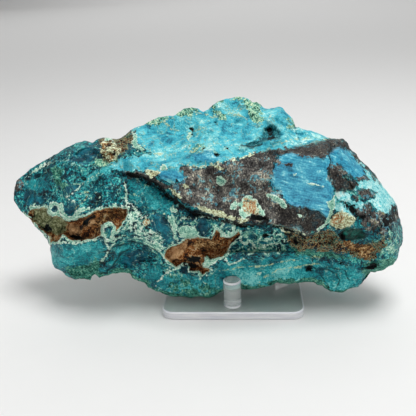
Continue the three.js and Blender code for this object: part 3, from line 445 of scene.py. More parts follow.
# Thin features as lines: half the width in millimetres, and the points each line runs through.
LINES = {
    # pale veins and the rims of the mint shells
    "mint": [
        (0.9, [(6.1, -12.9), (9.2, -12.3), (12.4, -15), (11.9, -19.8), (7.4, -20.9), (4.4, -17.8),
               (6.1, -12.9)]),
        (1.0, [(-91.3, -4.5), (-90.2, -2.7), (-88.2, -1.7), (-86, -2.4), (-85.3, -4.8), (-86.6, -7.2),
             (-89.4, -8.4), (-91.3, -7.2), (-91.3, -4.5)]),
        (1.0, [(-84.7, -2.4), (-84.4, -7), (-81.8, -10), (-78.4, -10.2), (-75.6, -7.4), (-72.4, -5.4),
               (-69, -4.8)]),
        (0.8, [(-61.3, -14.8), (-57.9, -13.1), (-54.5, -14.9), (-55.2, -18.9), (-56, -22.3), (-59.4, -22.9),
               (-61.4, -18.8), (-61.3, -14.8)]),
        (0.3, [(-81.8, 2.3), (-76.5, 4.4), (-72.6, 8.6), (-68.2, 10.2)]),
        (0.25, [(-81.8, 1.3), (-78.3, -0.4), (-74.5, -2)]),
        (0.3, [(-64.3, 4.2), (-62.9, 2.3), (-63.4, -0.1)]),
        (0.6, [(-48, 10), (-47.6, 5.3), (-47.4, 0.6), (-47.6, -4.8)]),
        (0.3, [(-103.3, 13.9), (-99.4, 16.6), (-94.3, 19.7), (-90.4, 21.7)]),
        (0.35, [(-87, -24.2), (-83.6, -22.9), (-80.4, -24.3), (-76, -24.8), (-72.1, -23.3), (-67.8, -22.2),
               (-63.4, -20.9)]),
        (0.5, [(-59.5, -19.4), (-59.1, -24.2), (-58.1, -26.9), (-59.2, -31.7), (-62, -34.3)]),
        (0.4, [(-58.1, -29), (-56.4, -25.8), (-53.6, -21.5), (-49.8, -20), (-46.6, -21.1)]),
        (0.3, [(-47.1, -22.4), (-41.6, -21.3), (-37.5, -22.6), (-33.5, -24.7), (-28.8, -27.2)]),
        (0.4, [(6.8, -32.3), (7.1, -34.3), (9.7, -36.9), (13.3, -35.6), (18.1, -32.6), (22.9, -29.7),
               (26.5, -27.6), (30, -26.2), (35.1, -25), (36.5, -27.4), (36.5, -30.4), (35.6, -31.3)]),
        (0.4, [(-23.4, -40.2), (-19.7, -38.4), (-16.6, -36.3), (-13.9, -36.3), (-12.8, -37.8),
               (-13.7, -40.2), (-7.1, -40.5), (-5.9, -42.7), (-6.5, -44.5)]),
        (0.6, [(-17, -11.3), (-13.6, -10.3), (-8.3, -10.4), (-3.5, -9.6), (2, -11.4)]),
        (0.4, [(-32, -47.4), (-28.3, -43.8), (-23.9, -39), (-22.7, -36.6)]),
        (0.45, [(15.6, -20.4), (15, -24), (18, -25), (23.6, -23.4), (32, -22.6), (37, -20), (40, -24),
               (36, -25)]),
        (0.6, [(22.4, -24.3), (23.5, -26.7), (23.8, -28.5)]),
    ],
    # hair-fine buff flow lines
    "buff": [
        (0.2, [(2.5, -40.3), (10.9, -39.1), (19.2, -38), (28.1, -37.5), (35.8, -35.7), (42.9, -34.6),
               (51.7, -33.7), (58.6, -32.6)]),
        (0.2, [(26.8, -46.4), (28.6, -43.4), (31.6, -41.6), (35.8, -39.6), (42.8, -39), (48.7, -37.6),
               (58.5, -35.9)]),
        (0.25, [(-76.2, -5.2), (-73.4, -2.6), (-70, 1.1), (-68.3, 4.3), (-71.1, 4.6)]),
        (0.15, [(-38, 30), (-32, 25.6), (-24, 24), (-14, 26), (-4, 25)]),
        (0.15, [(-26, 44), (-22, 38), (-12, 36), (-2, 39)]),
        (0.15, [(-10, 48), (2, 44), (12, 46), (20, 43)]),
        (0.1, [(38, 29), (48, 31.4), (60, 31.6), (66, 30.4)]),
    ],
    # weathered seam between the sky-blue face and the crust
    "tan": [
        (0.35, [(-17, 18.6), (-10, 17.6), (-4, 17.2), (4, 19.2), (14, 21.4), (24, 23.6)]),
    ],
    # rusty seam along the ledge
    "rust": [
        (0.6, [(10, -12.1), (16.9, -13.7), (23.9, -14.4), (30.8, -13.2), (37.8, -14.3), (43.3, -16.7),
               (48.7, -19.5), (54.2, -21.3)]),
    ],
    "moss": [(1.8, FOOT[4:-6])],  # crumbling rim of the foot
    # painted shade: near-black lines in the cracks, along the ribs of the shell-shaped break and at the
    # dent's rim
    "shade_in_cracks": [
        (0.3, [(57.4, -39.8), (62.2, -39.8), (67, -41.2), (69, -45.4), (66.9, -50.9)]),
        (0.3, [(58.1, -39.1), (65, -38.4), (71.8, -40.5), (73.8, -45.4)]),
        (0.3, [(58.1, -40.5), (60.8, -46), (64.2, -50.9)]),
        (0.5, [(57.4, -39.8), (54, -37.6), (50.6, -38.3)]),
        (0.8, [(-65.6, -9.4), (-68.1, -10.2), (-71.9, -12.8), (-73.4, -15.5)]),
        (0.35, [(-56, -26.4), (-50, -24.8), (-44.3, -23.6), (-37.5, -25.5), (-31, -29.2)]),
        (0.5, [(-62.1, -41), (-55.5, -37), (-51.6, -30.6), (-45.9, -28)]),
        (0.3, [(64.3, 24), (64.6, 17), (64.2, 9.6)]),
        (0.5, [(17, 28.4), (23.1, 27.4), (28, 28.6)]),
    ],
}

FIELDS = tuple(dict.fromkeys([*MARKS, *LINES]))

# What the unseen sides hold: size of the patches in mm, share of the surface from -1, none, to 1, all,
# and seed.
WILD = {
    "pocket": (17, -0.6, 22),
    "sky": (46, -0.12, 11),
    "crumb_and_painted_light": (16, -0.42, 12),
    "moss": (15, -0.35, 23),
    "ochre": (12, -0.45, 24),
    "silk_and_painted_light": (38, -0.05, 13),
    "pool": (13, -0.36, 14),
    "tan": (12, -0.5, 15),
    "crust": (34, -0.16, 16),
    "soot_and_shade": (22, -0.2, 25),
    "rust": (22, -0.34, 17),
    "iron": (40, -0.34, 18),
    "mint": (9, -0.52, 19),
    "shade_in_holes": (11, -0.56, 20),
    "lace": (30, 0.0, 21),
}
WILD_DEPTHS = (3.0, 15.0)  # behind the outline, where the front's own minerals give way to these
NOT_WILD = (30, -1, 0)  # a mineral that only the front shows
FIELD_RANGE = (-9, 6)  # mm
PUSHES = ((0.6, 7, 40), (0.35, 2.4, 50))  # noise that makes the marks ragged: reach and size in mm, and seed
STEEP_PUSH = 2.5  # how many times further they go where the rim is upright

# What each mineral adds to the relief, and the values of its field between which it does so, all in mm.
STANDS_OFF = {
    "crust": (0.7, 0, 0.7),
    "tan": (0.5, 0, 0.8),
    "iron": (-6.5, -0.2, 1.8),
    "pebble": (5.0, -0.5, 3.0),
    "shaded_dent": (-4.0, -0.6, 2.0),
    "shade_in_holes": (-3.0, -0.2, 1.0),
    "pocket": (-2.5, -0.3, 1.8),
    "mint": (0.9, -0.8, 0.6),
    "pool": (-0.8, -0.3, 1.0),
    "ochre": (0.8, -0.2, 1.0),
    "shade_in_cracks": (-0.7, -0.3, 0.4),
}
SCARS = ((7.5, 30, 60), (6.0, 13, 61))  # flake scars: height and size in mm, and seed
LEDGE_DROP = 4.6  # mm
LEDGE_SPAN = ((-60, -46), (58, 72))  # along a, where the ledge sets in and where it dies away
LEDGE_FOOT = (-46, -30)  # along b, where the step back ends
PEAK = 2.0  # mm: what stands higher broke off
PEAK_KEPT = 0.33  # the share of it that is left
LEAST_DEPTH = 1.5  # mm

LATTICE = 32  # random values per axis before the noise repeats
FAR = 1e6


def linear(colour):
    """An sRGB hex colour as linear red, green and blue."""
    channels = [int(colour[i:i + 2], 16) / 255 for i in (1, 3, 5)]
    return tuple(c / 12.92 if c <= 0.04045 else ((c + 0.055) / 1.055) ** 2.4 for c in channels)


# ---- numpy surfaces ----

def step(low, high, values):
    """Smooth step: 0 below low, 1 above high, and 3t^2 - 2t^3 of the way t between."""
    t = np.clip((values - low) / (high - low), 0, 1)
    return t * t * (3 - 2 * t)


def noise(points, size, seed):
    """Gradient noise, about -1 to 1: each lattice corner's random slope, blended by smooth steps."""
    slopes = np.random.default_rng(seed).normal(size=(LATTICE, LATTICE, LATTICE, 3))
    slopes /= np.linalg.norm(slopes, axis=-1, keepdims=True)
    scaled = points / size
    cell = np.floor(scaled).astype(int)
    part = scaled - cell
    blend = part ** 3 * (part * (6 * part - 15) + 10)
    total = np.zeros(len(points))
    for corner in itertools.product((0, 1), repeat=3):
        share = np.prod(np.where(corner, blend, 1 - blend), axis=1)
        a, b, c = ((cell + corner) % LATTICE).T
        total += share * np.einsum("ij,ij->i", slopes[a, b, c], part - corner)
    return 1.5 * total


def rough(points, size, seed, octaves=4):
    """Layered noise: each octave has half the size and half the height of the one before."""
    layers = [noise(points, size / 2 ** k, seed + 31 * k) / 2 ** k for k in range(octaves)]
    return sum(layers)


def flake_scars(points, size, seed):
    """Tilted dishes that meet in sharp ridges: the lowest of one random paraboloid per cubic cell.

    Each is the squared distance to its centre, plus a random slope times the offset and a random lift.
    """
    random = np.random.default_rng(seed)
    centres = random.random((LATTICE, LATTICE, LATTICE, 3))
    tilts = random.uniform(-1.4, 1.4, (LATTICE, LATTICE, LATTICE, 3))
    lifts = random.uniform(-0.2, 0.2, (LATTICE, LATTICE, LATTICE))
    scaled = points / size
    base = np.floor(scaled).astype(int)
    nearest = np.full(len(points), FAR)
    for offset in itertools.product((-1, 0, 1), repeat=3):
        cell = base + offset
        a, b, c = (cell % LATTICE).T
        apart = scaled - cell - centres[a, b, c]
        dish = np.einsum("ij,ij->i", apart, apart + tilts[a, b, c]) + lifts[a, b, c]
        nearest = np.minimum(nearest, dish)
    return nearest


def line_distance(points, line):
    """Distance from plan points to a line through several points: the least of those to its stretches."""
    nearest = np.full(len(points), FAR)
    for p, q in itertools.pairwise(np.array(line, float)):
        run = q - p
        offset = points - p
        t = np.clip(offset @ run / (run @ run), 0, 1)
        apart = offset - t[:, None] * run
        nearest = np.minimum(nearest, np.einsum("ij,ij->i", apart, apart))
    return np.sqrt(nearest)


def inside_distance(points, outline):
    """Distance from plan points to a closed outline, positive inside it, where a line to the right
    crosses the outline an odd number of times."""
    ring = [*outline, outline[0]]
    inside = np.zeros(len(points), bool)
    for (x, y), (next_x, next_y) in itertools.pairwise(ring):
        if y != next_y:
            spans = (y > points[:, 1]) != (next_y > points[:, 1])
            crossing = x + (next_x - x) * (points[:, 1] - y) / (next_y - y)
            inside ^= spans & (points[:, 0] < crossing)
    return np.where(inside, 1, -1) * line_distance(points, ring)


def along(line, fractions):
    """The points at given fractions of a polyline's length."""
    line = np.array(line, float)
    reach = np.concatenate([[0], np.cumsum(np.linalg.norm(np.diff(line, axis=0), axis=1))])
    return np.stack([np.interp(fractions * reach[-1], reach, line[:, k]) for k in (0, 1)], axis=-1)


def plan_grid(columns, rows, crowding):
    """Coons patch of the outline's four sides, its lines closing up towards the outline.

    Each pair of facing sides is blended across the other parameter, and the blend of the four corners
    is taken off once.
    """
    u, v = (np.linspace(0, 1, n + 1) for n in (columns, rows))
    u, v = (s - crowding * np.sin(2 * np.pi * s) / (2 * np.pi) for s in (u, v))
    foot, crest = along(FOOT, u)[:, None], along(CREST, u)[:, None]
    left, right = along(LEFT_END, v)[None], along(RIGHT_END, v)[None]
    u, v = u[:, None, None], v[None, :, None]
    low = (1 - u) * foot[:1] + u * foot[-1:]
    high = (1 - u) * crest[:1] + u * crest[-1:]
    return (1 - v) * (foot - low) + v * (crest - high) + (1 - u) * left + u * right


def faces_depth(plan, faces, softness=1.6):
    """Depth of the body that the broken faces bound: the soft minimum of their planes."""
    planes = [depth + (plan - at) @ np.array(slope, float) for at, depth, slope in faces]
    return -softness * np.log(sum(np.exp(-p / softness) for p in planes))


def mineral_fields(plan, solid, behind, steepness):
    """Each mineral's field in millimetres, positive inside it, by name.

    On the front it is the highest capped distance of the mineral's marks at a plan point pushed about
    by noise, and pushed further on the steep rim. Behind the outline it turns into layered noise less
    the mineral's level.
    """
    push = [sum(reach * noise(solid, size, seed + k) for reach, size, seed in PUSHES) for k in (0, 1)]
    moved = plan + np.stack(push, axis=-1) * (1 + STEEP_PUSH * steepness[:, None])
    wild = step(*WILD_DEPTHS, behind)
    fields = {}
    for name in FIELDS:
        drawn = np.full(len(plan), float(FIELD_RANGE[0]))
        for cap, outline in MARKS.get(name, ()):
            drawn = np.maximum(drawn, np.minimum(inside_distance(moved, outline), cap))
        for half, line in LINES.get(name, ()):
            drawn = np.maximum(drawn, half - line_distance(moved, line))
        size, level, seed = WILD.get(name, NOT_WILD)
        free = 0.5 * size * (rough(solid, size, seed) + level)
        fields[name] = ((1 - wild) * drawn + wild * np.clip(free, *FIELD_RANGE)).astype(np.float32)
    return fields


def relief(plan, solid, fields, front):
    """How far the surface stands off its broken faces: flake scars and grain, which die away on the smooth
    facets, plus what each mineral adds, a lip round the hollows and the step under the ledge."""
    flat = step(-1, 1.5, fields["panel"])
    silky = step(-1, 2, fields["silk_and_painted_light"])
    stained = step(-0.5, 1, np.maximum(fields["rust"], fields["iron"]))
    scars = sum(rise * flake_scars(solid, size, seed) for rise, size, seed in SCARS)
    # the facets lose nearly all of the scars, chips and grit, and silky rock about half
    height = (scars - scars.mean() - 1) * (1 - 0.95 * flat) * (1 - 0.35 * silky)
    height += 1.8 * flake_scars(solid, 5, 65) * (1 - flat) * (1 - 0.6 * silky)
    height += (0.7 + 1.1 * stained) * (1 - 0.96 * flat) * (1 - 0.5 * silky) * rough(solid, 5, 62)
    for name, (rise, low, high) in STANDS_OFF.items():
        height += rise * step(low, high, fields[name])
    lip = (fields["iron"] + 1.2) / 0.9
    height += np.exp(-lip ** 2)
    if front:
        ledge = np.interp(plan[:, 0], *np.transpose(LEDGE))
        sets_in, dies_away = (step(low, high, plan[:, 0]) for low, high in LEDGE_SPAN)
        span = sets_in * (1 - dies_away) * step(*LEDGE_FOOT, plan[:, 1])
        wobble = 0.9 * noise(solid, 6, 64)
        height -= LEDGE_DROP * span * (1 - step(-0.5, 0.5, plan[:, 1] - ledge + wobble))
    return height - (1 - PEAK_KEPT) * np.maximum(height - PEAK, 0)


def keep_clear(points, gap):
    """Moves points out of the pegs sideways and off the plate upwards, so that the stone only rests."""
    for node in PEG_NODES:
        low, high = (np.array(corner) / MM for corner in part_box(node))
        centre = (low + high)[:2] / 2
        reach = (high[0] - low[0]) / 2 + gap
        apart = points[:, :2] - centre
        distance = np.linalg.norm(apart, axis=1)
        struck = (distance < reach) & (points[:, 2] < high[2] + gap)
        points[struck, :2] = centre + apart[struck] * (reach / distance[struck])[:, None]
    points[:, 2] = np.maximum(points[:, 2], PLATE_BOX[1][2] + gap)
    return points


def stone_surface(settings):
    """Points, quads and mineral fields of the stone, in millimetres in the object's frame.

    Two shells share the plan grid and the points of the outline. Each stands off the slab plane by the
    depth of its broken faces times a quarter round that dies away at the outline, plus the relief. The
    front narrows in proportion to its depth.
    """
    grid = plan_grid(settings.columns, settings.rows, settings.crowding)
    across, up = grid.shape[:2]
    rim = np.ones((across, up), bool)
    rim[1:-1, 1:-1] = False
    front_index = np.arange(across * up).reshape(across, up)
    back_index = np.where(rim, front_index, 0)
    back_index[~rim] = across * up + np.arange((~rim).sum())

    shells = []
    for front, plan in ((True, grid.reshape(-1, 2)), (False, grid[~rim])):
        inward = np.clip(inside_distance(plan, OUTLINE) / settings.edge_round, 0, 1)
        inward[rim.ravel() if front else slice(0)] = 0
        rise = np.sqrt(1 - (1 - inward) ** 2)
        faces = np.maximum(faces_depth(plan, FRONT_FACES if front else BACK_FACES), settings.toe)
        side = 1 if front else -1
        solid = np.column_stack([plan, side * rise * faces])
        behind = np.zeros(len(plan)) if front else rise * faces
        fields = mineral_fields(plan, solid, behind, (1 - inward) ** 3)
        depth = side * rise * np.maximum(faces + relief(plan, solid, fields, front), LEAST_DEPTH)
        wobble = [settings.crumble * rough(solid, 3.6, 70 + k, 3) for k in (0, 1)]
        shells.append((plan + np.stack(wobble, axis=-1), depth, fields))

    plan = np.concatenate([shell[0] for shell in shells])
    depth = np.concatenate([shell[1] for shell in shells])
    fields = {name: np.concatenate([shell[2][name] for shell in shells]) for name in FIELDS}
    narrowing = np.maximum(depth, 0)[:, None] / settings.taper_height
    plan = plan + narrowing * (np.array(settings.taper_point) - plan)

    lean = settings.lean
    centre = STONE_BOX[0] + np.array(settings.centre)
    world = np.column_stack([
        centre[0] + plan[:, 0],
        centre[1] + plan[:, 1] * math.sin(lean) - depth * math.cos(lean),
        centre[2] + plan[:, 1] * math.cos(lean) + depth * math.sin(lean),
    ])
    quads = []
    for index in (front_index, back_index[::-1]):
        corners = [index[:-1, :-1], index[1:, :-1], index[1:, 1:], index[:-1, 1:]]
        quads.append(np.stack([c.ravel() for c in corners], axis=-1))
    return keep_clear(world, settings.rest_gap), np.concatenate(quads).tolist(), fields


def carried_profile(path, outward, profile, centre):
    """A closed body: a profile of insets and heights carried round a closed path, with a pole at each end."""
    inset, height = np.array(profile, float).T
    rings = path[None] - inset[:, None, None] * outward[None]
    flat = np.broadcast_to(height[:, None, None], (*rings.shape[:2], 1))
    points = np.concatenate([rings, flat], axis=-1).reshape(-1, 3)
    poles = [(*centre, height[0]), (*centre, height[-1])]
    count, levels = len(path), len(profile)
    index = np.arange(count * levels).reshape(levels, count)
    after = np.roll(index, -1, axis=1)
    quads = np.stack([index[:-1], after[:-1], after[1:], index[1:]], axis=-1).reshape(-1, 4)
    bottom = np.stack([after[0], index[0], np.full(count, count * levels)], axis=-1)
    top = np.stack([index[-1], after[-1], np.full(count, count * levels + 1)], axis=-1)
    return np.concatenate([points, poles]), quads.tolist() + bottom.tolist() + top.tolist()


def edge_profile(low, high, under, over, steps, collar=0.5):
    """Insets and heights from the underside to the top: a quarter round, a collar's height of the side, the
    rest of the side, a quarter round. Millimetres."""
    turn = np.linspace(0, np.pi / 2, steps + 1)
    lower = [(under * (1 - math.sin(t)), low + under * (1 - math.cos(t))) for t in turn]
    upper = [(over * (1 - math.cos(t)), high - over * (1 - math.sin(t))) for t in turn]
    inner = 0.4  # a flat ring keeps the end faces level
    return [(under + inner, low), *lower, (0, low + under + collar), *upper, (over + inner, high)]


def rounded_rectangle(low, high, corner, steps):
    """A rounded rectangle's points and outward normals, anticlockwise from the right side."""
    points, normals = [], []
    for turn, (x, y) in enumerate([(1, 1), (0, 1), (0, 0), (1, 0)]):
        middle = np.where((x, y), high - corner, low + corner)
        angles = np.linspace(0, np.pi / 2, steps + 1) + turn * np.pi / 2
        normal = np.column_stack([np.cos(angles), np.sin(angles)])
        points.append(middle + corner * normal)
        normals.append(normal)
    return np.concatenate(points), np.concatenate(normals)


def make_piece(name, points, faces, materials, node):
    """A smooth mesh from points in millimetres, riding on the one body and standing for its CAD node."""
    mesh = bpy.data.meshes.new(name)
    mesh.from_pydata((points * MM).tolist(), [], faces)
    mesh.validate()
    mesh.shade_smooth()
    for material in materials:
        mesh.materials.append(material)
    piece = bpy.data.objects.new(name, mesh)
    bpy.context.scene.collection.objects.link(piece)
    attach(piece, "root")
    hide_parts(node)
    return piece


def upright_parts(mesh, name):
    """The upright part of a vector that each face of a mesh has, such as its normal or centre."""
    values = np.empty(3 * len(mesh.polygons), np.float32)
    mesh.polygons.foreach_get(name, values)
    return values[2::3]


# ---- materials ----

def add(tree, kind, settings=None, inputs=None, stops=None):
    """Adds one node: its properties, its sockets' values or links, and a ramp's colour stops."""
    node = tree.nodes.new(kind)
    for name, value in (settings or {}).items():
        setattr(node, name, value)
    for socket, value in (inputs or {}).items():
        if isinstance(value, bpy.types.NodeSocket):
            tree.links.new(value, node.inputs[socket])
        else:
            node.inputs[socket].default_value = value
    if stops:
        elements = node.color_ramp.elements
        elements[0].position, elements[1].position = stops[0][0], stops[-1][0]
        for place, _ in stops[1:-1]:
            elements.new(place)
        for element, (_, colour) in zip(elements, stops):
            element.color = (*linear(colour), 1)
    return node.outputs


def new_material(name):
    """An empty node material and its tree."""
    material = bpy.data.materials.new(name)
    material.use_nodes = True
    material.node_tree.nodes.clear()
    return material, material.node_tree


def weigh(tree, grains, weights, start=0.0):
    """A weighted sum of grains, from a start value."""
    total = start
    for grain, weight in zip(grains, weights):
        total = add(tree, "ShaderNodeMath", {"operation": "MULTIPLY_ADD"}, {0: grain, 1: weight, 2: total})[0]
    return total


def grain_between(tree, grains, weights, colours, middle=0.5):
    """Colours in even steps over a weighted sum of grains that run from -1 to 1."""
    total = weigh(tree, grains, [0.5 * weight for weight in weights], middle)
    places = np.linspace(0, 1, len(colours))
    return add(tree, "ShaderNodeValToRGB", None, {"Fac": total}, list(zip(places, colours)))[0]


def mask_where(tree, start, low, high, grains=(), weights=(), top=1.0):
    """A smooth step from 0 to top while a start value plus weighted grains goes from low to high."""
    return add(tree, "ShaderNodeMapRange", {"interpolation_type": "SMOOTHSTEP"}, {
        "Value": weigh(tree, grains, weights, start), "From Min": low, "From Max": high, "To Max": top})[0]


def mineral_mask(tree, name, grains, bites, soft=0.25, inset=0.0, top=1.0):
    """1 inside a mineral, 0 outside; each grain bites its edge by so many millimetres."""
    field = add(tree, "ShaderNodeAttribute", {"attribute_name": name})["Fac"]
    return mask_where(tree, field, inset - soft, inset + soft, grains, bites, top)


def lay_over(tree, below, mask, colour, roughness, lift=0.0):
    """Lays one mineral's colour, roughness and lift in millimetres over what is below it.

    A mix node takes its two colours at sockets 6 and 7, and its two numbers at 2 and 3.
    """
    mixed = add(tree, "ShaderNodeMix", {"data_type": "RGBA"}, {0: mask, 6: below[0], 7: colour})[2]
    dull, raised = (
        add(tree, "ShaderNodeMix", {"data_type": "FLOAT"}, {0: mask, 2: old, 3: new})[0]
        for old, new in ((below[1], roughness), (below[2], lift)))
    return mixed, dull, raised


def chrysocolla_material():
    """Chrysocolla: silky copper silicate, waxy where smooth, with mint walls, sooty manganese crust and
    earthy iron-stained hollows. Its colours change with the mineral fields, and grains from 18 mm down
    to 0.7 mm break up both the colours and the edges between minerals."""
    # some fields paint shade into holes, cracks, the dent and the panel's foot, and painted light onto the
    # ridge, the undercut foot and under the ledge
    material, tree = new_material("chrysocolla_rock")
    place = add(tree, "ShaderNodeTexCoord")["Object"]

    def grain(size, detail, distortion=0.0, mapping=None):
        """Noise from about -1 to 1 with features of a size in mm, moved or drawn out by a mapping."""
        vector = place
        if mapping:
            vector = add(tree, "ShaderNodeMapping", {"vector_type": "TEXTURE"}, {
                "Vector": place, **mapping})[0]
        raw = add(tree, "ShaderNodeTexNoise", None, {
            "Vector": vector, "Scale": 1 / (size * MM), "Detail": detail, "Distortion": distortion})[0]
        return add(tree, "ShaderNodeMapRange", {"clamp": False}, {
            "Value": raw, "From Min": 0.32, "From Max": 0.68, "To Min": -1.0, "To Max": 1.0})[0]

    def coat(below, name, grains, weights, colours, middle, edge, bites, roughness, lift=0.0, **shape):
        """One mineral over the layer below: its mottled colours, then what makes its edge."""
        colour = grain_between(tree, grains, weights, colours, middle)
        return lay_over(tree, below, mineral_mask(tree, name, edge, bites, **shape), colour, roughness, lift)

    broad, sweep, patch = grain(18, 2), grain(8, 3, 0.4), grain(4, 3, 0.5)
    speck, fine = grain(1.6, 2), grain(0.8, 1)
    patch_b = grain(4.6, 3, 0.5, {"Location": (-0.31, -0.31, -0.31)})
    speck_b = grain(2.0, 2, 0.0, {"Location": (-0.57, -0.57, -0.57)})
    flow = grain(1.3, 3, 1.2, {"Rotation": (0.0, -0.12, 0.0), "Scale": (5.0, 1.0, 1.1)})
    streak = grain(1.0, 2, 0.3, {"Rotation": (0.0, 0.28, 0.0), "Scale": (7.0, 1.0, 0.8)})
    fibre = grain(0.7, 3, 0.3, {"Rotation": (-0.35, 0.1, 0.0), "Scale": (0.7, 0.9, 2.4)})
    torn, frayed = (patch, speck), (patch_b, speck_b)

    # warped cells about 5.4 mm across: each has its own shade, and mint walls stand on their borders
    warp = add(tree, "ShaderNodeTexNoise", None, {"Vector": place, "Scale": 1 / (7 * MM), "Detail": 1})[1]
    bent = add(tree, "ShaderNodeVectorMath", {"operation": "MULTIPLY_ADD"},
               {0: warp, 1: (9 * MM, 9 * MM, 9 * MM), 2: place})[0]
    cell = {"Vector": bent, "Scale": 1 / (5.4 * MM)}
    walls = add(tree, "ShaderNodeTexVoronoi", {"feature": "DISTANCE_TO_EDGE"}, cell)[0]
    lot = add(tree, "ShaderNodeTexVoronoi", None, cell)[1]
    shade = add(tree, "ShaderNodeMapRange", None, {
        "Value": add(tree, "ShaderNodeSeparateXYZ", None, {0: lot})[0], "To Min": -1.0, "To Max": 1.0})[0]

    # base: dark teal, mottled, with lighter silky clots, which grow lighter with the silk field's height as
    # painted light on the undercut foot and under the ledge
    teal = grain_between(tree, (shade, patch, speck, fine, broad), (0.25, 0.45, 0.6, 0.4, 0.35), (
        "#02161d", "#032630", "#053b47", "#08525e", "#076b76", "#0e8a90", "#1fa6a2", "#6cc6b5"), 0.46)
    silk_and_light_field = add(tree, "ShaderNodeAttribute", {"attribute_name": "silk_and_painted_light"})["Fac"]
    layer = coat(
        (teal, 0.5, 0.0), "silk_and_painted_light", (sweep, broad, speck, fine, silk_and_light_field), (0.5, 0.4, 0.3, 0.25, 0.08), (
            "#032f3a", "#065763", "#0c7880", "#1a9499", "#40b0b2", "#82cfca"), 0.43,
        torn, (1.0, 0.5), 0.42, soft=0.8)

    # mint crumbs in drifts, which thin out where it is silky
    silky = mask_where(tree, silk_and_light_field, -2.5, 1.0, top=0.7)
    strewn = mask_where(
        tree, -1.15, 0.0, 0.35, (sweep, patch_b, speck_b, fine, silky), (0.35, 0.5, 0.7, 0.6, -1.0), 0.85)
    mint = grain_between(tree, (speck, fine), (0.6, 0.5), (
        "#1f6e66", "#56a08c", "#8fc9b0", "#bfe2cb", "#ecf6e6"))
    layer = lay_over(tree, layer, strewn, mint, 0.6, 0.15)

    layer = coat(layer, "pool", (patch, speck, sweep), (0.5, 0.3, 0.4), (
        "#021d27", "#053542", "#084f5f", "#0d6b7c", "#1c8797"), 0.48, torn, (0.6, 0.4), 0.38, -0.3, soft=0.4)

    # the walls thin and break up where the lace thins
    density = add(tree, "ShaderNodeAttribute", {"attribute_name": "lace"})["Fac"]
    width = add(tree, "ShaderNodeMapRange", None, {
        "Value": density, "From Min": -3, "From Max": 3, "To Min": -0.12, "To Max": 0.11})[0]
    lace = weigh(tree, (sweep, patch_b, speck_b, walls), (0.06, 0.08, 0.05, -1.0), width)
    halo = grain_between(tree, (speck, fine), (0.5, 0.4), ("#1b7a80", "#3a9a98", "#62b5a8"))
    layer = lay_over(tree, layer, mask_where(tree, lace, -0.09, -0.02, top=0.8), halo, 0.5)
    layer = lay_over(tree, layer, mask_where(tree, lace, -0.015, 0.03), mint, 0.6, 0.45)

    # hair veins: thin level lines of the broad folds
    level = add(tree, "ShaderNodeMath", {"operation": "ABSOLUTE"}, {0: sweep})[0]
    vein = mask_where(tree, level, 0.06, 0.02, (patch_b,), (0.05,), 0.4)
    layer = lay_over(tree, layer, vein, mint, 0.55, 0.1)

    # painted shade: small dark specks for the shade in tiny pits
    pit_shade = mask_where(tree, -1.2, 0.0, 0.15, (patch, speck_b, fine), (0.4, 0.7, 0.3), 0.9)
    layer = lay_over(tree, layer, pit_shade, (*linear("#0a1a1c"), 1), 0.7, -0.4)

    # sky-blue face, then its cream flecks and buff creases
    on_sky = mineral_mask(tree, "sky", torn, (0.8, 0.6))
    sky = grain_between(tree, (patch, flow, broad, sweep, fine), (0.35, 0.22, 0.4, 0.4, 0.25), (
        "#0f5568", "#1e8298", "#32a2b5", "#47b7c6", "#63c7d0", "#92d9d8", "#d2efe2"), 0.52)
    layer = lay_over(tree, layer, on_sky, sky, 0.5)
    flecks = mask_where(tree, -1.15, 0.0, 0.2, (fine, speck_b, patch_b, broad), (0.6, 0.6, 0.5, 0.4), 0.85)
    layer = lay_over(tree, layer, weigh(tree, (flecks,), (on_sky,)), (*linear("#e6eccb"), 1), 0.6, 0.15)
    creases = mask_where(tree, level, 0.1, 0.02, (speck,), (0.05,), 0.55)
    buff = grain_between(tree, (speck, fine), (0.5, 0.5), ("#5f8f78", "#9fb893", "#cfd6b4"))
    layer = lay_over(tree, layer, weigh(tree, (creases,), (on_sky,)), buff, 0.6, 0.1)

    # painted shade: the dent darker than the face round it
    layer = coat(layer, "shaded_dent", (patch, speck, fine), (0.4, 0.6, 0.4), (
        "#042c33", "#0c4f58", "#17707a", "#35939a", "#8fc7b8"), 0.45, torn, (0.9, 0.8), 0.5, soft=0.5)
    # greenish crumbs, and painted light under the ledge
    layer = coat(layer, "crumb_and_painted_light", (speck, fine, patch), (0.6, 0.6, 0.3), (
        "#1c3d30", "#3b7460", "#5a9c86", "#83bda2", "#aed4b2", "#d3e3bd"), 0.52,
        frayed, (1.1, 1.2), 0.7, 0.3, soft=0.4)
    layer = coat(layer, "moss", (patch, speck, fine), (0.45, 0.4, 0.4), (
        "#06261f", "#12473c", "#236858", "#3d8574", "#619f88", "#93c0a2"), 0.5,
        frayed, (0.9, 0.9), 0.7, 0.2, soft=0.5)
    layer = coat(layer, "panel", (streak, sweep, fine, patch), (0.45, 0.4, 0.3, 0.35), (
        "#155870", "#227592", "#318caa", "#42a0b9", "#5eb6c6", "#a0d8da"), 0.5, torn, (0.7, 0.5), 0.3)
    # pale cyan breaks, and the painted highlight along the ridge
    layer = coat(layer, "pale_and_highlight", (flow, patch, fine, speck), (0.35, 0.45, 0.3, 0.2), (
        "#1d7c86", "#3fadb6", "#6fcacf", "#9adcdd", "#c3ebe6", "#e8f7ee"), 0.56, frayed, (0.6, 0.7), 0.5)
    layer = coat(layer, "rust", (speck, patch, fine, patch_b), (0.75, 0.45, 0.75, 0.5), (
        "#070605", "#17110c", "#33231a", "#5f3f23", "#8b6338", "#a8926a", "#7d9474", "#2e6d5e", "#0f4a43"),
        0.46, torn, (1.3, 1.1), 0.8, 0.2, soft=0.4)

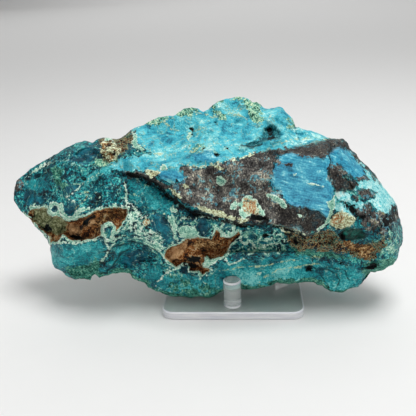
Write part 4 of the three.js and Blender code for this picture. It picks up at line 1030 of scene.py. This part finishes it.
    # manganese crust, rubbed bare to a blue smear in places, with the blackest crust over it, which also lies
    # as painted shade over the panel's foot
    on_crust = mineral_mask(tree, "crust", frayed, (0.8, 0.9))
    crust = grain_between(tree, (fibre, fine, patch, sweep), (0.5, 0.35, 0.35, 0.4), (
        "#0c0a09", "#221e1b", "#363636", "#4f4b45", "#6a6b67", "#979080", "#c6c2ac"), 0.52)
    layer = lay_over(tree, layer, on_crust, crust, 0.62, 0.35)
    bare = mask_where(tree, -0.36, -0.05, 0.3, (sweep, patch_b, speck), (0.6, 0.5, 0.5), 0.8)
    smear = grain_between(tree, (patch, speck, fine), (0.4, 0.4, 0.3), (
        "#123c4a", "#1f6078", "#357f93", "#5fa6ae", "#9cc9c4"))
    layer = lay_over(tree, layer, weigh(tree, (bare,), (on_crust,)), smear, 0.5)
    # the blackest crust, and painted shade over the panel's foot
    layer = coat(layer, "soot_and_shade", (fibre, fine, patch), (0.6, 0.5, 0.3), (
        "#060505", "#110f0e", "#231f1c", "#3a352f", "#6f675a"), 0.46,
        frayed, (0.5, 0.5), 0.6, 0.3, soft=1.2, top=0.85)

    layer = coat(layer, "tan", (speck, fine, patch), (0.5, 0.5, 0.3), (
        "#473f2a", "#8c8562", "#b0b48c", "#c8d6b2", "#e6efd6"), 0.54, torn, (0.6, 0.7), 0.75, 0.2)
    layer = coat(layer, "iron", (patch, speck, fine, sweep), (0.5, 0.5, 0.4, 0.6), (
        "#0a0502", "#28140a", "#512d14", "#7d4a22", "#a36b36", "#bf9464", "#b3ad8b"), 0.52,
        torn, (0.3, 0.35), 0.85, -0.2)
    layer = coat(layer, "olive", (patch, speck, fine), (0.5, 0.4, 0.3), (
        "#252c1a", "#4a5637", "#6f7b55", "#97a27d", "#bcc5a4"), 0.5, torn, (0.9, 0.7), 0.6, soft=0.8, top=0.9)
    layer = coat(layer, "pebble", (patch, speck, fine), (0.6, 0.4, 0.3), (
        "#6a4628", "#946c45", "#b58c60", "#cfab80"), 0.5, torn, (0.5, 0.4), 0.75, soft=0.5)
    layer = coat(layer, "ochre", (patch, speck, fine), (0.6, 0.6, 0.4), (
        "#1c1107", "#452c15", "#76512b", "#9c7848", "#cbb284"), 0.48, frayed, (0.6, 0.7), 0.75, 0.2)

    # mint rim along the hollows, swelling and thinning between 0.5 and 2.5 mm, cream at both its edges
    cream_look = (speck, fine), (0.5, 0.6), ("#5aa38e", "#b4dcc4", "#f0f7ea")
    cream = grain_between(tree, *cream_look)
    hollow = add(tree, "ShaderNodeAttribute", {"attribute_name": "iron"})["Fac"]
    swell = weigh(tree, (patch_b, speck_b), (0.45, 0.3), 0.6)
    middle = weigh(tree, (patch, speck, swell), (0.3, 0.35, 1.0), hollow)
    away = add(tree, "ShaderNodeMath", {"operation": "ABSOLUTE"}, {0: middle})[0]
    left_over = weigh(tree, (away,), (-1.0,), swell)
    layer = lay_over(tree, layer, mask_where(tree, left_over, -0.1, 0.15), cream, 0.55, 0.4)
    layer = lay_over(tree, layer, mask_where(tree, left_over, 0.35, 0.6, top=0.8), mint, 0.55, 0.3)

    # mint walls, cream outside and greener in their cores
    layer = coat(layer, "mint", *cream_look, 0.5, torn, (0.35, 0.45), 0.55, 0.4, soft=0.2)
    layer = coat(layer, "mint", (speck, fine), (0.6, 0.6), (
        "#15605c", "#46907f", "#83c0a6", "#b5dcc4"), 0.5,
        torn, (0.35, 0.4), 0.55, 0.3, soft=0.2, inset=0.6, top=0.75)

    layer = coat(layer, "heart", (speck, fine, patch), (0.6, 0.5, 0.3), (
        "#6b3a1c", "#a0683c", "#b99a70", "#b9c6a2", "#d9e6cf"), 0.5, torn, (0.7, 0.9), 0.6, 0.3)
    layer = coat(layer, "pocket", (patch, speck), (0.6, 0.4), (
        "#021512", "#05302a", "#0a4a40", "#17695c"), 0.45, torn, (0.6, 0.5), 0.3, -0.3, soft=0.5)
    # painted shade: near-black colour in the holes, pockets and the crack under the ledge
    layer = coat(layer, "shade_in_holes", (speck, fine), (0.5, 0.5), (
        "#010202", "#040606", "#081312", "#0d2f2b"), 0.4, frayed, (0.6, 0.7), 0.7, -0.5)
    layer = coat(layer, "buff", (speck, fine), (0.5, 0.5), (
        "#6f8f5e", "#b3bf86", "#dfe0b4"), 0.5, torn, (0.3, 0.4), 0.6, 0.15, top=0.7)
    # painted shade: the cracks, ribs and the dent's rim drawn near black
    crack_shade = mineral_mask(tree, "shade_in_cracks", torn, (0.15, 0.2), soft=0.3, top=0.85)
    layer = lay_over(tree, layer, crack_shade, (*linear("#03171b"), 1), 0.7, -0.5)

    # the smooth facets keep only faint scratches, the rest the lift of its minerals and a gritty grain
    smooth = mineral_mask(tree, "panel", (speck,), (0.3,), soft=0.6)
    gritty = weigh(tree, (speck, fine, patch), (0.16, 0.09, 0.2), layer[2])
    scratched = weigh(tree, (streak, fine), (0.03, 0.015))
    height = add(tree, "ShaderNodeMix", {"data_type": "FLOAT"}, {0: smooth, 2: gritty, 3: scratched})[0]
    bump = add(tree, "ShaderNodeBump", None, {"Height": height, "Distance": MM, "Strength": 0.8})[0]
    surface = add(tree, "ShaderNodeBsdfPrincipled", None, {
        "Base Color": layer[0], "Roughness": layer[1], "IOR": 1.5, "Specular IOR Level": 0.25,
        "Normal": bump})[0]
    add(tree, "ShaderNodeOutputMaterial", None, {"Surface": surface})
    return material


def acrylic_material():
    """Cast acrylic, flame polished: colourless and glossy, with a faint grey-green in its thickness and
    hair scratches that only soften its shine."""
    material, tree = new_material("clear_acrylic")
    place = add(tree, "ShaderNodeTexCoord")["Object"]
    wear = add(tree, "ShaderNodeTexNoise", None, {"Vector": place, "Scale": 1 / (9 * MM), "Detail": 4})[0]
    roughness = add(tree, "ShaderNodeMapRange", None, {
        "Value": wear, "From Min": 0.35, "From Max": 0.75, "To Min": 0.01, "To Max": 0.05})[0]
    surface = add(tree, "ShaderNodeBsdfPrincipled", None, {
        "Base Color": (*linear("#f7fdfb"), 1), "Roughness": roughness, "IOR": 1.49,
        "Transmission Weight": 0.8})[0]
    inside = add(tree, "ShaderNodeVolumeAbsorption", None, {
        "Color": (*linear("#d8e6e2"), 1), "Density": 4.0})[0]
    add(tree, "ShaderNodeOutputMaterial", None, {"Surface": surface, "Volume": inside})
    return material


def glowing_white_material(name, clearness):
    """The same acrylic painted milky white: on the rounds and round a peg's foot as painted highlight and
    glow, on the cut edges as sawn frosting with painted glow, with faint saw lines; less milky the clearer it
    is."""
    material, tree = new_material(name)
    place = add(tree, "ShaderNodeTexCoord")["Object"]
    lines = add(tree, "ShaderNodeMapping", {"vector_type": "TEXTURE"}, {
        "Vector": place, "Scale": (12.0, 12.0, 0.6)})[0]
    saw = add(tree, "ShaderNodeTexNoise", None, {"Vector": lines, "Scale": 1 / (1.2 * MM), "Detail": 2})[0]
    glow_tones = add(tree, "ShaderNodeValToRGB", None, {"Fac": saw}, [
        (0.35, "#e6e6ef"), (0.5, "#f3f3f8"), (0.65, "#ffffff")])[0]
    surface = add(tree, "ShaderNodeBsdfPrincipled", None, {
        "Base Color": glow_tones, "Roughness": 0.22, "IOR": 1.49, "Transmission Weight": clearness})[0]
    add(tree, "ShaderNodeOutputMaterial", None, {"Surface": surface})
    return material


def floor_material(colour):
    """Matt white paper sweep: very fine mottling keeps it from looking painted."""
    material, tree = new_material("paper_sweep")
    place = add(tree, "ShaderNodeTexCoord")["Object"]
    mottle = add(tree, "ShaderNodeTexNoise", None, {
        "Vector": place, "Scale": 1 / (16.7 * MM), "Detail": 3})[0]
    shade = add(tree, "ShaderNodeMapRange", None, {"Value": mottle, "To Min": 0.99, "To Max": 1.01})[0]
    paper = add(tree, "ShaderNodeVectorMath", {"operation": "SCALE"}, {0: colour, "Scale": shade})[0]
    surface = add(tree, "ShaderNodeBsdfPrincipled", None, {
        "Base Color": paper, "Roughness": 0.85, "Specular IOR Level": 0.2})[0]
    add(tree, "ShaderNodeOutputMaterial", None, {"Surface": surface})
    return material


# ---- settings ----

class StoneSettings(bpy.types.PropertyGroup):
    """Sizes of the stone, in millimetres unless it says otherwise."""
    columns: IntProperty(
        name="Columns", description="Grid cells along the slab", default=310, min=20)
    rows: IntProperty(name="Rows", description="Grid cells up the slab", default=160, min=10)
    crowding: FloatProperty(
        name="Crowding", description="How much the grid closes up towards the outline", default=0.4)
    edge_round: FloatProperty(
        name="Edge round", description="Worn round along the outline, mm", default=8.0)
    toe: FloatProperty(
        name="Toe", description="Least half thickness just inside the outline, mm", default=4.2)
    crumble: FloatProperty(
        name="Crumble", description="Unevenness of the outline, mm", default=0.45)
    taper_height: FloatProperty(
        name="Taper height", description="Height of the point the front narrows towards, mm", default=319.6)
    taper_point: FloatVectorProperty(
        name="Taper point", description="Its place on the slab plane, mm", size=2, default=(22.4, 0.2))
    lean: FloatProperty(
        name="Lean", description="How far the slab leans back from upright",
        default=math.radians(20), subtype="ANGLE", unit="ROTATION")
    centre: FloatVectorProperty(
        name="Slab centre", description="From the CAD stone's lowest corner, mm", size=3,
        default=(111.74, 33.51, 52.31))
    rest_gap: FloatProperty(
        name="Rest gap", description="Air between the stone and its stand, mm", default=0.25)


class StandSettings(bpy.types.PropertyGroup):
    """Finish of the acrylic stand."""
    corner: FloatProperty(
        name="Corner", description="Radius of the plate's corners, mm", default=6.5)
    # the edge's rounds are painted milky as their highlights
    edge: FloatProperty(
        name="Edge", description="Flame-polished round along the plate's edges, mm", default=0.8)
    peg_top: FloatProperty(name="Peg top", description="Round on a peg's top, mm", default=1.0)
    peg_foot: FloatProperty(
        name="Peg foot", description="Round on its cemented foot, mm", default=0.25)
    # painted glow: the height of the white ring round a peg's foot
    peg_glow_collar: FloatProperty(
        name="Peg collar", description="Height that the cement turned milky above it, mm", default=1.1)


class StageSettings(bpy.types.PropertyGroup):
    """Floor, lights and camera."""
    floor_colour: FloatVectorProperty(
        name="Floor", description="Paper colour", size=3, subtype="COLOR", default=linear("#e6e6e5"))
    floor_size: FloatProperty(
        name="Floor size", description="Side of the paper", default=16.0, unit="LENGTH")
    sweep: FloatProperty(
        name="Sweep", description="Radius of the bend at its far edge", default=2.0, unit="LENGTH")
    horizon: FloatProperty(
        name="Horizon", description="Tent's light at eye level", default=0.22)
    zenith: FloatProperty(name="Zenith", description="Tent's light overhead", default=0.34)
    key_power: FloatProperty(
        name="Key", description="Overhead softbox", default=7.4, unit="POWER")
    bank_power: FloatProperty(
        name="Backdrop bank", description="Bank over the far paper", default=58.0, unit="POWER")
    fill_power: FloatProperty(
        name="Fill", description="Broad screen behind the camera", default=8.0, unit="POWER")
    eye: FloatVectorProperty(
        name="Camera", description="Camera place", size=3, subtype="TRANSLATION", unit="LENGTH",
        default=(0.0114, -0.29875, 0.167))
    pitch: FloatProperty(
        name="Pitch", description="Downward tilt", default=math.radians(21.05), subtype="ANGLE")
    yaw: FloatProperty(
        name="Yaw", description="Turn to the left", default=math.radians(4.69), subtype="ANGLE")
    roll: FloatProperty(
        name="Roll", description="Camera roll", default=math.radians(-2.45), subtype="ANGLE")
    lens: FloatProperty(
        name="Lens", description="Focal length on a 36 mm sensor", default=50.4, unit="CAMERA")


# ---- operators ----

def direction_frame(forward, roll):
    """Rotation whose -Z looks along forward, turned by roll about it, as three rows."""
    forward = np.array(forward, float) / np.linalg.norm(forward)
    level = np.cross(forward, (0, 0, 1))
    if not level.any():
        level = np.array([1.0, 0, 0])
    level /= np.linalg.norm(level)
    upright = np.cross(level, forward)
    right = math.cos(roll) * level + math.sin(roll) * upright
    up = math.cos(roll) * upright - math.sin(roll) * level
    return np.column_stack([right, up, -forward]).tolist()


class SPECIMEN_OT_stone(bpy.types.Operator):
    """Build the chrysocolla slab"""
    bl_idname = "specimen.stone"
    bl_label = "Stone"

    def execute(self, context):
        points, quads, fields = stone_surface(context.scene.specimen_stone)
        piece = make_piece(
            "chrysocolla_slab", points, quads, [chrysocolla_material()], "specimen")
        for name, values in fields.items():
            attribute = piece.data.attributes.new(name, "FLOAT", "POINT")
            attribute.data.foreach_set("value", values)
        return {"FINISHED"}


class SPECIMEN_OT_stand(bpy.types.Operator):
    """Build the clear plate and its three pegs"""
    bl_idname = "specimen.stand"
    bl_label = "Stand"

    def execute(self, context):
        settings = context.scene.specimen_stand
        acrylic = acrylic_material()
        glow_white = glowing_white_material("acrylic_round_painted_glow", 0.2)
        cut_frost_and_glow = glowing_white_material("acrylic_cut_frost_and_glow", 0.35)
        low, high = PLATE_BOX
        path, outward = rounded_rectangle(low[:2], high[:2], settings.corner, 16)
        profile = edge_profile(low[2], high[2], settings.edge, settings.edge, 8)
        points, faces = carried_profile(path, outward, profile, (low + high)[:2] / 2)
        plate = make_piece(
            "acrylic_plate", points, faces, [acrylic, glow_white, cut_frost_and_glow], "stand_base")
        # the plate is clear where it lies level, sawn and painted with glow where it stands upright, and
        # painted milky on the rounds as their highlights
        level = np.abs(upright_parts(plate.data, "normal"))
        part = (level < FLAT_FROM).astype(np.int32) + (level < CUT_TO)
        plate.data.polygons.foreach_set("material_index", part.astype(np.int32))

        angles = np.linspace(0, 2 * np.pi, 96, endpoint=False)
        circle = np.column_stack([np.cos(angles), np.sin(angles)])
        for node in PEG_NODES:
            low, high = (np.array(corner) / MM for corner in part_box(node))
            centre = (low + high)[:2] / 2
            radius = (high[0] - low[0]) / 2
            profile = edge_profile(
                low[2], high[2], settings.peg_foot, settings.peg_top, 8, settings.peg_glow_collar)
            points, faces = carried_profile(centre + radius * circle, circle, profile, centre)
            peg = make_piece("acrylic_" + node, points, faces, [acrylic, glow_white], node)
            # painted glow: a peg is milky white round its foot and on the round of its top, as their bright
            # rings
            heights = upright_parts(peg.data, "center") / MM
            steep = np.abs(upright_parts(peg.data, "normal")) < PEG_END_FROM
            foot = heights < low[2] + settings.peg_foot + settings.peg_glow_collar
            brow = heights > high[2] - settings.peg_top
            peg.data.polygons.foreach_set("material_index", (steep & (foot | brow)).astype(np.int32))
        return {"FINISHED"}


class SPECIMEN_OT_stage(bpy.types.Operator):
    """Build the paper floor, the lights and the camera"""
    bl_idname = "specimen.stage"
    bl_label = "Stage"

    def execute(self, context):
        scene = context.scene
        settings = scene.specimen_stage
        # flat up to the sweep, then a quarter round of its radius, then upright
        half, bend = settings.floor_size / 2, settings.sweep
        turn = np.linspace(0, np.pi / 2, 17)
        depth = np.concatenate([[-half], half - bend + bend * np.sin(turn), [half]])
        height = np.concatenate([[0], bend * (1 - np.cos(turn)), [2 * bend]]) + CAD_BOX[0][2] - FLOOR_GAP
        rows = [np.column_stack([np.full(len(depth), x), depth, height]) for x in (-half, half)]
        index = np.arange(len(depth) - 1)
        quads = np.column_stack([index, index + len(depth), index + len(depth) + 1, index + 1])
        mesh = bpy.data.meshes.new("paper_floor")
        mesh.from_pydata(np.concatenate(rows).tolist(), [], quads.tolist())
        mesh.shade_smooth()
        mesh.materials.append(floor_material(tuple(settings.floor_colour)))
        floor = bpy.data.objects.new("paper_floor", mesh)
        scene.collection.objects.link(floor)

        scene.world = bpy.data.worlds.new("studio")
        scene.world.use_nodes = True
        tree = scene.world.node_tree
        ambient = tree.nodes["Background"].inputs
        # brighter overhead than at the horizon, as in a light tent
        ray = add(tree, "ShaderNodeTexCoord")["Generated"]
        rise = add(tree, "ShaderNodeSeparateXYZ", None, {0: ray})[2]
        glow = add(tree, "ShaderNodeMapRange", None, {
            "Value": rise, "From Min": 0.0, "From Max": 1.0,
            "To Min": settings.horizon, "To Max": settings.zenith})[0]
        ambient["Color"].default_value = (1, 1, 1, 1)
        tree.links.new(glow, ambient["Strength"])
        # Softboxes: name, power, width, depth, place and the point each faces, in metres.
        boxes = [
            ("overhead_softbox", settings.key_power, 0.45, 0.45, (0.2, -0.05, 0.98), (0, 0, 0.05)),
            ("front_screen", settings.fill_power, 2.2, 0.6, (0.1, -1.4, 0.38), (0, 0, 0.05)),
            ("backdrop_bank", settings.bank_power, 4.0, 7.0, (0, 4.3, 1.8), (0, 4.3, 0)),
        ]
        for name, power, width, depth, place, target in boxes:
            light = bpy.data.lights.new(name, "AREA")
            light.energy = power
            light.shape = "RECTANGLE"
            light.size, light.size_y = width, depth
            lamp = bpy.data.objects.new(name, light)
            aim = np.array(target) - place
            lamp.rotation_euler = Matrix(direction_frame(aim, 0)).to_euler()
            lamp.location = place
            scene.collection.objects.link(lamp)

        camera = bpy.data.objects.new("camera", bpy.data.cameras.new("camera"))
        camera.data.lens = settings.lens
        camera.data.clip_start = 0.01
        forward = (-math.sin(settings.yaw) * math.cos(settings.pitch),
                   math.cos(settings.yaw) * math.cos(settings.pitch), -math.sin(settings.pitch))
        camera.rotation_euler = Matrix(direction_frame(forward, settings.roll)).to_euler()
        camera.location = settings.eye
        scene.collection.objects.link(camera)
        scene.camera = camera
        scene.view_settings.view_transform = "Standard"
        return {"FINISHED"}


class SPECIMEN_PT_panel(bpy.types.Panel):
    """Specimen builders in the sidebar"""
    bl_idname = "SPECIMEN_PT_panel"
    bl_label = "Chrysocolla Specimen"
    bl_space_type = "VIEW_3D"
    bl_region_type = "UI"
    bl_category = "Specimen"

    def draw(self, context):
        for operator in OPERATORS:
            self.layout.operator(operator.bl_idname)


SETTINGS = {
    "specimen_stone": StoneSettings,
    "specimen_stand": StandSettings,
    "specimen_stage": StageSettings,
}
OPERATORS = (SPECIMEN_OT_stone, SPECIMEN_OT_stand, SPECIMEN_OT_stage)


def register():
    for cls in (*SETTINGS.values(), *OPERATORS, SPECIMEN_PT_panel):
        bpy.utils.register_class(cls)
    for name, group in SETTINGS.items():
        setattr(bpy.types.Scene, name, PointerProperty(type=group))


def unregister():
    for name in SETTINGS:
        delattr(bpy.types.Scene, name)
    for cls in (SPECIMEN_PT_panel, *OPERATORS, *SETTINGS.values()):
        bpy.utils.unregister_class(cls)


def main():
    """Registers the add-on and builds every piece."""
    register()
    bpy.ops.specimen.stone()
    bpy.ops.specimen.stand()
    bpy.ops.specimen.stage()
    bpy.context.view_layer.update()


if __name__ == "__main__":
    main()
